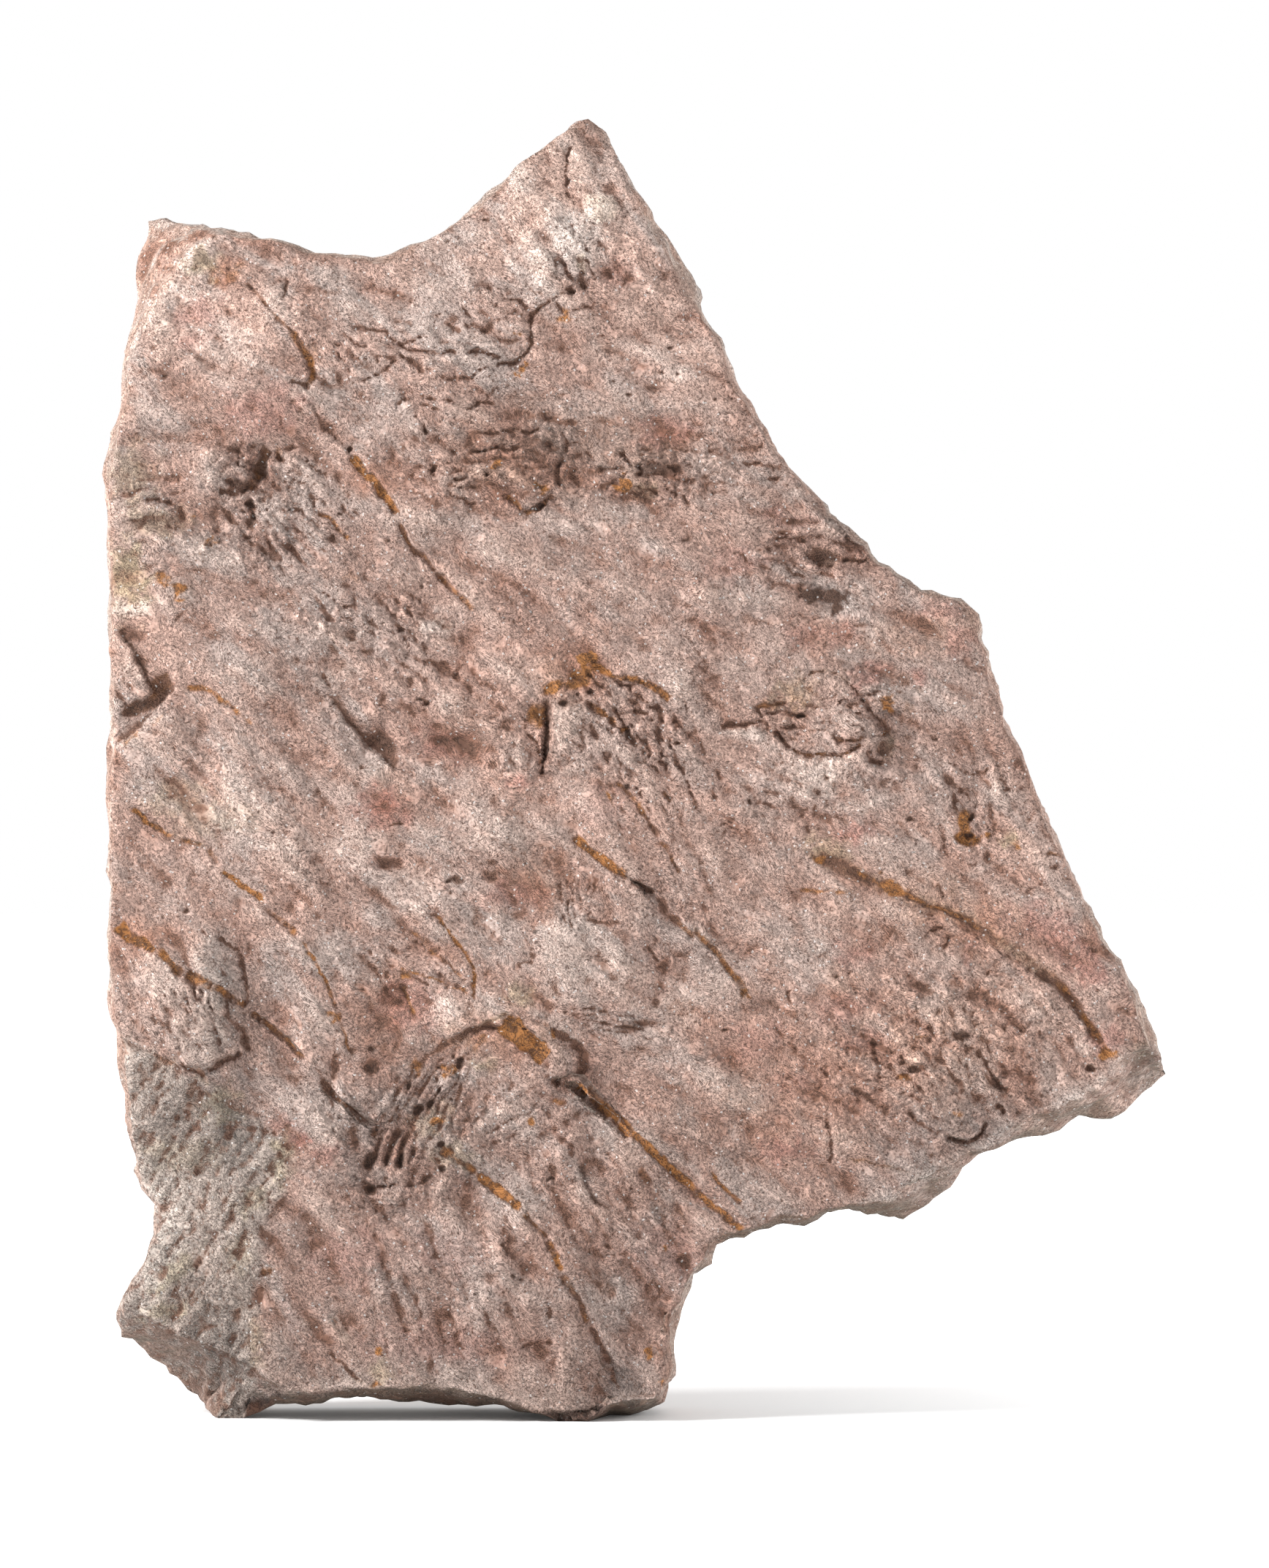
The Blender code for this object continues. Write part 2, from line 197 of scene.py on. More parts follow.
def softened(field, radius):  # Gaussian blur, radius in millimetres
    levels, columns = field.shape
    spectrum = np.fft.rfft2(field)
    across = np.fft.rfftfreq(columns, plate["cell"])[None, :]
    down = np.fft.fftfreq(levels, plate["cell"])[:, None]
    spectrum *= np.exp(-2 * (math.pi * radius) ** 2 * (across ** 2 + down ** 2))
    return np.fft.irfft2(spectrum, s=field.shape).astype(np.float32)


# The maps of the face: one grid of heights and one for each colour that varies over it, painted shade and painted
# light among them

gridX, gridZ = np.meshgrid(
    np.arange(plate["xRange"][0], plate["xRange"][1], plate["cell"], np.float32),
    np.arange(plate["zRange"][0], plate["zRange"][1], plate["cell"], np.float32),
)
grid = (gridX, gridZ)
seed = plate["seed"]
height = np.zeros_like(gridX)
stainAndShadeNames = ("rust", "blush", "grey", "pale", "dark", "olive", "crumble", "tone", "warm")
stainsAndShade = {name: np.zeros_like(gridX) for name in stainAndShadeNames}

# What makes every mark uneven: strength and size in millimetres, first of the coarse part and then of the fine one
unevenness = {
    "jitter": ((0.8, 5.0), (0.5, 1.9)),
    "patches": ((1.0, 4.5), (0.6, 1.8)),
    "speckles": ((1.0, 2.2), (0.7, 1.2)),
}


def uneven(name, salt):
    return sum(share * swell(grid, size, seed + salt + step) for step, (share, size) in enumerate(unevenness[name]))


jitterX = uneven("jitter", 1)
jitterZ = uneven("jitter", 3)
patches = ramp(-0.55, 0.35, uneven("patches", 5))
speckles = ramp(-0.5, 0.5, uneven("speckles", 7))


def atPoints(field, x, z):  # reads a map at any places, in millimetres
    column = np.clip((x - plate["xRange"][0]) / plate["cell"], 0, field.shape[1] - 1.001)
    row = np.clip((z - plate["zRange"][0]) / plate["cell"], 0, field.shape[0] - 1.001)
    left = column.astype(int)
    low = row.astype(int)
    u = column - left
    v = row - low
    bottom = field[low, left] * (1 - u) + field[low, left + 1] * u
    top = field[low + 1, left] * (1 - u) + field[low + 1, left + 1] * u
    return bottom * (1 - v) + top * v


def rows(table, keys):  # a table's rows as keyword arguments; a row's last dictionary holds what few rows have
    keys = keys.split()
    for entry in table.values():
        for row in entry if isinstance(entry, list) else [entry]:
            yield {**dict(zip(keys, row)), **(row[len(keys)] if len(row) > len(keys) else {})}


def placed(pixels):  # points on the face, from columns and rows by turns
    return np.column_stack(onFace(np.array(pixels[::2]), np.array(pixels[1::2])))


def smoothPath(pixels):  # a smooth curve through listed pixels, a point each millimetre
    knots = placed(pixels)
    if len(knots) == 2:
        return knots[0] + np.linspace(0, 1, 6)[:, None] * (knots[1] - knots[0])
    ends = 2 * knots[0] - knots[1], 2 * knots[-1] - knots[-2]
    padded = np.vstack([ends[0], knots, ends[1]])
    points = [knots[0]]
    for a, b, c, d in zip(padded, padded[1:], padded[2:], padded[3:]):
        count = max(2, int(math.hypot(*(c - b))))
        for t in np.arange(1, count + 1) / count:
            bend = (2 * a - 5 * b + 4 * c - d) * t ** 2 + (3 * b - a - 3 * c + d) * t ** 3
            points.append(0.5 * (2 * b + (c - a) * t + bend))
    return np.array(points)


def windowAround(points, reach):
    low = points.min(0) - reach
    high = points.max(0) + reach
    columns = np.clip([(low[0] - plate["xRange"][0]) / plate["cell"],
                       (high[0] - plate["xRange"][0]) / plate["cell"]], 0, gridX.shape[1]).astype(int)
    levels = np.clip([(low[1] - plate["zRange"][0]) / plate["cell"],
                      (high[1] - plate["zRange"][0]) / plate["cell"]], 0, gridX.shape[0]).astype(int)
    return np.s_[levels[0]:levels[1], columns[0]:columns[1]]


def near(line, reach, ragged):  # the cells around a line: distance from it, side of it, place along it, and lee
    window = windowAround(line, reach)
    x = gridX[window] + ragged * jitterX[window]
    z = gridZ[window] + ragged * jitterZ[window]
    away = np.full(x.shape, 1e6)
    along = np.zeros(x.shape)
    side = np.ones(x.shape)
    lee = np.zeros(x.shape)
    run = 0.0
    for start, end in zip(line, line[1:]):
        stepX, stepZ = end - start
        long = math.hypot(stepX, stepZ)
        share = np.clip(((x - start[0]) * stepX + (z - start[1]) * stepZ) / long ** 2, 0, 1)
        gapX = x - start[0] - share * stepX
        gapZ = z - start[1] - share * stepZ
        gap = np.hypot(gapX, gapZ)
        closer = gap < away
        away = np.where(closer, gap, away)
        along = np.where(closer, run + share * long, along)
        side = np.where(closer, np.sign(stepX * gapZ - stepZ * gapX), side)
        lee = np.where(closer, gapX * lightRuns[0] + gapZ * lightRuns[1], lee)
        run += long
    return window, away, side, along, run, lee


def stainAndShade(window, amount, colours):
    for name, power in colours.items():
        share = amount * power
        if name == "rust":
            share = share * (0.5 + 0.5 * patches[window])
        elif name != "dark":
            share = share * (0.5 + 0.5 * speckles[window])
        stainsAndShade[name][window] = np.maximum(stainsAndShade[name][window], share)


def carve(line, wide, deep, wideEnd=None, fade=(2.5, 2.5), lip=0.12, ragged=0.8, ribs=0.1, flat=0.5, vary=0.22,
          **tints):
    first = wide * picture["mmPerPixel"] / 2
    last = (wideEnd or wide) * picture["mmPerPixel"] / 2
    window, away, side, along, long, lee = near(line, max(first, last) * 1.6 + 4, ragged)
    salt = int(abs(line[0].sum()) * 10) % 997
    wander = marks["wander"] if vary < 0.3 else marks["crackWander"]
    wobble = 1 + vary * swell((along, np.full_like(along, salt * 3.7)), wander, seed + salt)
    half = (first + (last - first) * along / long) * wobble
    ends = ramp(-0.05, fade[0], along) * ramp(-0.05, fade[1], long - along)
    inside = (1 - ramp(flat, 1.1, away / half)) * ends
    bed = 0.82 + 0.3 * swell((along, np.full_like(along, salt * 1.9)), marks["bedWaves"], seed + salt + 1)
    rib = ribs * np.sin(along * 2 * math.pi / marks["ribsApart"]) * inside
    rim = np.exp(-((away / half - marks["lipPlace"]) / marks["lipWidth"]) ** 2)
    rim = lip * rim * ends * (0.4 + 0.6 * patches[window])
    height[window] += rim + rib - deep * inside * bed
    # painted shadow in the groove, strongest on the wall nearer the light
    dark = tints.pop("dark", 0.0)
    stainAndShade(window, inside, tints)
    shade = 0.25 + 0.75 * ramp(0.35, -0.55, lee / half)
    stainAndShade(window, inside ** 2 * shade * (0.55 + 0.45 * speckles[window]), {"dark": dark})


def cutStem(path, **style):
    carve(smoothPath(path), **style)


def cutCrack(path, wide, deep, dark, **style):
    carve(smoothPath(path), marks["crackWiden"] * wide, marks["crackDeepen"] * deep, dark=dark, lip=0.1, ribs=0.0,
          **{"fade": (1.2, 1.2), "ragged": 0.8, "vary": 0.5, **style})


def evenly(line, count):
    steps = np.hypot(*np.diff(line, axis=0).T)
    run = np.concatenate([[0], np.cumsum(steps)])
    places = np.linspace(0, run[-1], count)
    return np.column_stack([np.interp(places, run, line[:, 0]), np.interp(places, run, line[:, 1])])


def cutFan(first, last, count, **style):  # grooves between the arms of a crown, a little astray
    points = marks["fanPoints"]
    start = evenly(smoothPath(first), points)
    end = evenly(smoothPath(last), points)
    for index in range(count):
        salt = swell((np.array([index * 7.3]), start[:1, 0]), 3.0, seed + 9)[0]
        share = (index + marks["fanStray"] * salt) / (count - 1)
        stop = points - int(abs(salt) * 14)
        carve((start + (end - start) * share)[:stop], **style)


def cutLedge(path, drop, reach, high, fade=(3.0, 3.0), crack=0.35, **tints):
    line = smoothPath(path)
    window, away, side, along, long, _ = near(line, reach * marks["ledgeReach"], 0.6)
    ends = ramp(-0.05, fade[0], along) * ramp(-0.05, fade[1], long - along)
    up = (side > 0) if high == "left" else (side < 0)
    fall = np.exp(-(away / reach) ** 1.3) * ends
    height[window] += drop * fall * np.where(up, 0.5, -0.5)
    slit = (1 - ramp(0.15, 0.9, away)) * ends * (0.3 + 0.7 * speckles[window])
    height[window] -= crack * slit
    # painted shadow on the low side of the step and in its slit
    low = np.where(up, 0, 1) * (1 - ramp(0.1, 0.55 * reach, away)) * ends
    stainAndShade(window, low, tints)
    stainAndShade(window, slit, {"dark": 0.5 * tints.get("dark", 0.4)})


def turned(at, size, turn, ragged, widen=1.0):  # an ellipse's window and how far out each cell lies, 1 at its rim
    middle = np.array([onFace(*at)])
    half = np.array(size) * widen * picture["mmPerPixel"]
    window = windowAround(middle, half.max() * 1.4 + 2)
    x = gridX[window] + ragged * jitterX[window] - middle[0, 0]
    z = gridZ[window] + ragged * jitterZ[window] - middle[0, 1]
    angle = math.radians(turn)
    along = (x * math.cos(angle) + z * math.sin(angle)) / half[0]
    across = (z * math.cos(angle) - x * math.sin(angle)) / half[1]
    return window, np.hypot(along, across)


def dent(at, size, deep, turn=0, ragged=0.8, **tints):  # size in pixels, from middle to rim
    window, out = turned(at, size, turn, ragged)
    inside = 1 - ramp(0.45, 1.1, out)
    height[window] -= deep * inside
    # painting the hollow darker inside is painted shade
    stainAndShade(window, inside, tints)


def tint(name, at, size, amount, turn=0):  # a patch of colour with a soft broken edge
    window, out = turned(at, size, turn, 3.0, marks["tintWiden"])
    loose = out + 0.35 * (patches[window] - 0.5) + 0.25 * (speckles[window] - 0.5)
    inside = 1 - ramp(0.35, 1.0, loose)
    stainsAndShade[name][window] = np.maximum(stainsAndShade[name][window], amount * inside)


def wash(at, size, tone, warm, turn=0):  # a wide soft patch of lighter, darker or warmer stone
    window, out = turned(at, size, turn, 4.0, marks["washWiden"])
    inside = ramp(1.0, 0.1, out) * (0.75 + 0.5 * patches[window])
    stainsAndShade["tone"][window] += tone * inside
    stainsAndShade["warm"][window] += warm * inside


def enclosed(corners, ragged, reach=12.0):  # signed distance from a ring, above 0 inside it
    ring = placed(corners)
    closed = np.vstack([ring, ring[:1]])
    window, away, _, _, _, _ = near(closed, reach, ragged)
    x = gridX[window] + ragged * jitterX[window]
    z = gridZ[window] + ragged * jitterZ[window]
    inside = np.zeros(x.shape, bool)
    for (x0, z0), (x1, z1) in zip(closed, closed[1:]):
        if z0 != z1:
            crosses = (z0 > z) != (z1 > z)
            inside ^= crosses & (x < x0 + (z - z0) * (x1 - x0) / (z1 - z0))
    return window, np.where(inside, away, -away)


def raiseBlock(corners, rise, edge, dome, ragged=0.6, **tints):  # a plate of stone that stands proud
    window, depth = enclosed(corners, ragged)
    inside = ramp(-0.5 * edge, 0.5 * edge, depth)
    height[window] += rise * inside + dome * inside * (1 - np.exp(-np.maximum(depth, 0) / 3))
    stainAndShade(window, ramp(-1.0, 1.5, depth), tints)


# The tables below hold what was read from the picture. Places and half sizes are in its pixels,
# rises and depths in millimetres, turns in degrees, and all strengths run from 0 to about 1.

# Which way the stone's streaks run near a place. A streak that falls to the right has a negative turn.

flows = {
    "topLeft": ((330, 450), -30),
    "saddle": ((560, 430), -14),
    "topCrown": ((620, 490), -12),
    "peak": ((760, 280), -65),
    "peakRight": ((860, 350), -50),
    "upperRight": ((930, 450), -20),
    "rightBands": ((1000, 620), -6),
    "rightEdge": ((1115, 755), -14),
    "middleCrown": ((700, 630), -4),
    "leftCrown": ((400, 700), -50),
    "leftEdge": ((205, 690), 10),
    "leftPlain": ((300, 840), -24),
    "leftMiddle": ((500, 850), -40),
    "middle": ((820, 790), -35),
    "leftOfSpike": ((600, 930), -30),
    "spikeArms": ((865, 1010), -58),
    "spikeArmsLow": ((905, 1110), -62),
    "ringCrown": ((1130, 985), -6),
    "underRing": ((1090, 1090), -25),
    "rightUpper": ((1260, 900), -30),
    "edgeCrown": ((1330, 1110), -65),
    "leftRidge": ((330, 1090), -45),
    "redSlope": ((620, 1110), -32),
    "besideStem": ((720, 1150), -30),
    "vArms": ((570, 1330), -48),
    "dome": ((790, 1300), -70),
    "domeFoot": ((840, 1400), -8),
    "armBlock": ((280, 1395), -68),
    "rightBank": ((1200, 1330), -26),
    "stemBank": ((1380, 1230), -28),
    "lowerRight": ((1300, 1450), -55),
    "lowerRightFar": ((1150, 1490), -25),
    "lowerCentre": ((980, 1430), -25),
    "armFan": ((570, 1520), 58),
    "besideFan": ((700, 1530), 35),
    "lowerMiddle": ((800, 1650), -58),
    "foot": ((600, 1770), -70),
    "footLeft": ((450, 1640), -45),
    "footRight": ((880, 1800), -62),
    "grey": ((240, 1680), 52),
}


def flowOfStone():
    across = np.full_like(gridX, 0.02 * math.cos(math.radians(-70)))
    up = np.full_like(gridX, 0.02 * math.sin(math.radians(-70)))
    for at, turn in flows.values():
        x, z = onFace(*at)
        share = np.exp(-((gridX - x) ** 2 + (gridZ - z) ** 2) / 2 / 17.0 ** 2)
        across += share * math.cos(math.radians(2 * turn))
        up += share * math.sin(math.radians(2 * turn))
    angle = 0.5 * np.arctan2(up, across) + 0.25 * swell(grid, 20.0, seed + 14) + 0.2 * swell(grid, 7.0, seed + 15)
    return np.cos(angle), np.sin(angle)


flowX, flowZ = flowOfStone()


def drawnOut(field, reach, stride=0.8):  # smears a map along the streaks and evens its strength
    total = field.copy()
    for way in (stride, -stride):
        x = gridX.copy()
        z = gridZ.copy()
        for _ in range(int(reach / stride)):
            stepX = way * atPoints(flowX, x, z)
            stepZ = way * atPoints(flowZ, x, z)
            x = x + stepX
            z = z + stepZ
            total = total + atPoints(field, x, z)
    return ((total - total.mean()) / total.std()).astype(np.float32)


# Relief of the bare stone: how high and how wide, in millimetres

relief = {
    "bend": (2.5, 16.0),        # how far and how widely the finer patterns are bent
    "broad": (1.5, 50.0),
    "waves": (0.6, 13.0),
    "lumps": (0.75, 24.0),
    "knobs": (0.8, 6.5),
    "terraces": (0.5, 24.0),
    "flakes": (0.45, 6.5),
    "streaks": (0.25, 3.4),
    "crumbs": (0.5, 2.2),
    "fine": (0.12, 2.0),
    "flutes": (1.3, 9.0),       # from here on in the coarse grey corner
    "ripples": (0.7, 3.6),
    "clods": (0.45, 4.0),
    "grit": (0.4, 1.6),
    "back": (1.3, 30.0),        # from here on off the face
    "backFine": (0.4, 9.0),
    "side": (1.3, 16.0),
    "sideFine": (0.4, 3.6),
}


def stepped(level, edge):  # level ground between short drops
    whole = np.floor(level)
    return whole + ramp(1 - edge, 1.0, level - whole)


def lumpy(coords, size, seed):  # rounded lumps with creases between them, 0 in a crease
    first = np.abs(swell(coords, size, seed))
    second = np.abs(swell(coords, size * 0.5, seed + 3))
    return np.sqrt(first + 0.02) + 0.5 * np.sqrt(second + 0.02) * (0.4 + first)


def roughness():  # from smooth ground to crumbly ground
    return 0.12 + 0.6 * ramp(0.05, 0.9, swell(grid, 22.0, seed + 80)) + stainsAndShade["crumble"]


def wide(name):
    return relief[name][1]


def bareStone():
    bend, bendSize = relief["bend"]
    bent = (gridX + bend * swell(grid, bendSize, seed + 11) + jitterX,
            gridZ + bend * swell(grid, bendSize, seed + 12) + jitterZ)
    terraces = drawnOut(layered(bent, wide("terraces"), seed + 30, 4, 0.55), 3.0) * 1.3
    flakes = layered(bent, wide("flakes"), seed + 40, 3, 0.65) * 1.7
    edge, own = crumbs(bent, wide("crumbs"), seed + 60)
    rough = roughness()
    parts = {
        "broad": layered(grid, wide("broad"), seed + 10, 2),
        "lumps": lumpy(bent, wide("lumps"), seed + 20),
        "waves": drawnOut(layered(grid, wide("waves"), seed + 15, 3, 0.6), 9.0),
        "knobs": rough * lumpy(bent, wide("knobs"), seed + 25),
        "terraces": stepped(terraces, 0.14) - 0.8 * terraces,
        "flakes": (stepped(flakes, 0.2) - 0.7 * flakes) * (0.15 + rough),
        "streaks": rough * drawnOut(layered(grid, wide("streaks"), seed + 50, 2, 0.6), 4.0),
        "crumbs": rough * (ramp(0.0, 0.4, edge) * (0.35 + 0.65 * own) - 0.5),
        "fine": (0.3 + rough) * layered(grid, wide("fine"), seed + 70, 2, 0.7),
    }
    surface = sum(relief[name][0] * part for name, part in parts.items())
    return surface - surface.mean()


# Broad rises and hollows of the face: middle, half size, turn, rise

swells = {
    "topLobe": ((760, 290), (120, 120), 50, 3),
    "topLeftRise": ((330, 455), (120, 75), -30, 2.2),
    "saddle": ((520, 420), (130, 60), 0, 1.2),
    "leftCrownHollow": ((352, 645), (60, 50), 20, -2.6),
    "redBand": ((770, 630), (200, 75), -3, -2.2),
    "leftMiddle": ((300, 830), (120, 90), -20, 1.4),
    "middle": ((820, 770), (180, 90), -10, 1.6),
    "leftRidge": ((350, 1080), (170, 95), -45, 2.8),
    "middleHollow": ((600, 1015), (120, 45), -10, -3),
    "spikeRise": ((850, 1080), (120, 90), -50, 1.8),
    "ringRise": ((1130, 1050), (100, 62), 0, 2.4),
    "ringHollow": ((1228, 1010), (42, 70), 0, -1.6),
    "rightRise": ((1270, 900), (110, 100), 20, 1.5),
    "upperRightHollow": ((1130, 790), (90, 60), -20, -2),
    "paleDome": ((795, 1320), (95, 80), 0, 2.6),
    "domeHollow": ((915, 1330), (38, 95), 8, -1.6),
    "redHollow": ((735, 1205), (80, 60), 0, -1.5),
    "blockRise": ((262, 1390), (75, 105), 0, 2.2),
    "blockHollow": ((362, 1390), (36, 100), 8, -1.8),
    "vHollow": ((528, 1395), (60, 75), 0, -2.4),
    "fanRidge": ((625, 1385), (70, 42), 10, 1.8),
    "fanHollow": ((560, 1530), (125, 80), 55, -2.6),
    "lobeHollow": ((805, 1480), (72, 52), -40, -2.8),
    "browHollow": ((806, 1600), (46, 60), 0, -1.6),
    "footRise": ((570, 1745), (140, 110), 0, 1.8),
    "footFall": ((890, 1830), (90, 150), 0, -2),
    "stemBank": ((1300, 1180), (140, 55), -25, 1.6),
    "rightBank": ((1200, 1330), (200, 80), -20, 1.6),
    "lowerRight": ((1310, 1450), (90, 70), -30, 1.4),
    "greyShoulder": ((225, 1700), (70, 120), 0, 3),
    "greyHollow": ((325, 1560), (70, 80), 0, -2),
}


def swellFace(at, size, turn, rise):
    window, out = turned(at, size, turn, 3.0, marks["swellWiden"])
    height[window] += rise * np.exp(-3.2 * out ** 2) * ramp(1.5, 1.0, out)


# Where the stone is folded into the moulds of arms: middle, half size, turn, how far apart they are, depth

arms = {
    "topCrown": ((600, 480), (135, 62), -12, 15, 0.5),
    "topCrownEnd": ((665, 450), (70, 60), -28, 12, 0.6),
    "topCrownStart": ((470, 500), (60, 60), -30, 13, 0.6),
    "middleCrown": ((690, 625), (120, 55), -4, 13, 0.8),
    "middleCrownStart": ((580, 640), (55, 65), -35, 12, 0.6),
    "rightOfMiddle": ((885, 650), (95, 45), -6, 12, 0.75, {"dark": 0.3}),
    "rightBands": ((1000, 620), (110, 75), -6, 16, 0.5),
    "rightEdge": ((1115, 755), (95, 60), -14, 15, 0.75, {"dark": 0.3}),
    "leftCrown": ((395, 705), (105, 85), -50, 13, 0.8),
    "leftCrownTop": ((330, 630), (50, 40), 30, 13, 0.5),
    "leftEdge": ((205, 690), (60, 60), 10, 16, 0.6),
    "leftMiddle": ((500, 840), (120, 60), -40, 14, 0.7),
    "leftOfSpike": ((600, 930), (90, 60), -30, 15, 0.6),
    "spikeArms": ((865, 1010), (105, 80), -58, 12, 1.1),
    "spikeArmsLow": ((900, 1110), (70, 60), -62, 12, 0.5),
    "ringCrown": ((1130, 985), (95, 50), -4, 11, 0.8),
    "underRing": ((1090, 1090), (110, 60), -25, 14, 0.5),
    "edgeCrown": ((1330, 1110), (70, 90), -70, 14, 0.7),
    "armBlock": ((280, 1395), (85, 62), -70, 9, 0.9),
    "leftRidge": ((350, 1090), (120, 90), -45, 20, 0.4),
    "vHollow": ((560, 1330), (90, 60), -45, 14, 0.7),
    "lowerRight": ((1300, 1440), (120, 100), -60, 13, 0.5, {"dark": 0.2}),
    "lowerRightFar": ((1180, 1480), (120, 70), -25, 14, 0.5),
    "lowerMiddle": ((800, 1640), (110, 120), -60, 16, 0.6),
    "footFolds": ((600, 1770), (120, 110), -72, 18, 0.5),
    "besideFan": ((700, 1530), (70, 60), 40, 13, 0.7),
}


def foldArms(at, size, turn, apart, deep, dark=0.35):
    window, out = turned(at, size, 0.0, 3.0, marks["armsWiden"])
    middle = onFace(*at)
    x = gridX[window] + 0.9 * jitterX[window] - middle[0]
    z = gridZ[window] + 0.9 * jitterZ[window] - middle[1]
    angle = math.radians(turn)
    along = x * math.cos(angle) + z * math.sin(angle)
    across = z * math.cos(angle) - x * math.sin(angle)
    salt = seed + at[0] + at[1]
    gap = marks["armsApart"] * apart * picture["mmPerPixel"]
    stretch = marks["armsStretch"]
    across = across + 2.4 * swell((along, across), 15.0, salt) + 0.9 * swell((along, across), 5.0, salt + 1)
    level = across / gap + 0.9 * swell((along / stretch, across), 3.0 * gap, salt + 2)
    tread = level - np.floor(level)
    bold = ramp(-0.15, 0.5, swell((along / 2.2, across), 2.2 * gap, salt + 3))
    folds = folded((along / stretch, across), 1.1 * gap, salt + 4)
    share = 1 - ramp(0.35, 1.0, out + 0.25 * swell((along, across), 6.0, salt + 5))
    shingles = (1 - tread) * ramp(0.0, 0.14, 1 - tread)
    creases = np.maximum(ramp(0.72, 0.95, tread) * bold, 0.8 * (1 - ramp(0.0, 0.4, folds)))
    rise = bold * (shingles - 0.45) + 0.6 * (folds - 0.8) - 0.55 * creases * speckles[window]
    height[window] += marks["armsDeepen"] * deep * share * rise
    # the creases are painted darker: painted shade
    stainAndShade(window, creases * share * (0.4 + 0.6 * speckles[window]), {"dark": dark})


# Where the stone is crumbly (middle, half size, how much), and the ring around the coarse grey corner

crumblyZones = {
    "leftCrown": ((345, 690), (70, 85), 0.7),
    "middleCrown": ((720, 640), (95, 60), 0.5),
    "rightOfMiddle": ((890, 650), (90, 40), 0.5),
    "underRightEdge": ((1120, 765), (75, 45), 0.45),
    "spikeCrown": ((830, 990), (120, 70), 0.5),
    "spikeNet": ((725, 1010), (45, 60), 1),
    "ringCrown": ((1150, 1000), (110, 90), 0.6),
    "leftOfMiddle": ((520, 860), (100, 40), 0.7),
    "lowerRight": ((1300, 1440), (150, 130), 0.7),
    "armFan": ((560, 1560), (110, 90), 0.8),
    "underArmFan": ((530, 1630), (60, 35), 1),
    "foot": ((880, 1760), (60, 60), 0.4),
    "knob": ((800, 350), (60, 50), 0.4),
    "lowerMiddle": ((1230, 1490), (60, 40), 0.9),
}
greyEdge = 2.6                      # half the width of the corner's edge, in millimetres
greyLeans = (0.5, 0.87)             # the way that its ripples run, along X and Z
coarseGrey = (120, 1405, 160, 1414, 190, 1430, 240, 1455, 290, 1495, 330, 1535, 378, 1550, 396, 1575, 392, 1622,
    366, 1655, 356, 1710, 350, 1790, 344, 1850, 352, 1880, 330, 1960, 90, 1960, 90, 1500)

for at, size, amount in crumblyZones.values():
    tint("crumble", at, size, amount)
height += bareStone()
for style in rows(swells, "at size turn rise"):
    swellFace(**style)
for style in rows(arms, "at size turn apart deep"):
    foldArms(**style)


def breakAcross():  # the grey corner, where the split left the bedding: coarse ripples that climb to the right
    window, depth = enclosed(coarseGrey, 3.0, 12.0 + 2 * greyEdge)
    stainsAndShade["grey"][window] = ramp(-greyEdge, greyEdge, depth)
    leanX, leanZ = greyLeans
    along = gridX * leanX + gridZ * leanZ
    across = gridX * leanZ - gridZ * leanX
    parts = {
        "flutes": layered((along * 0.3 + jitterX, across + jitterZ), wide("flutes"), seed + 82, 2, 0.5),
        "ripples": ridged((along * 0.4 + jitterX, across + jitterZ), wide("ripples"), seed + 84, 3, 0.65),
        "clods": lumpy((0.6 * along + jitterX, across + jitterZ), wide("clods"), seed + 80),
        "grit": swell(grid, wide("grit"), seed + 81),
    }
    grain = sum(relief[name][0] * part for name, part in parts.items())
    height[:] = height * (1 - 0.8 * stainsAndShade["grey"]) + grain * stainsAndShade["grey"]


breakAcross()
print("bare stone:", height.shape)
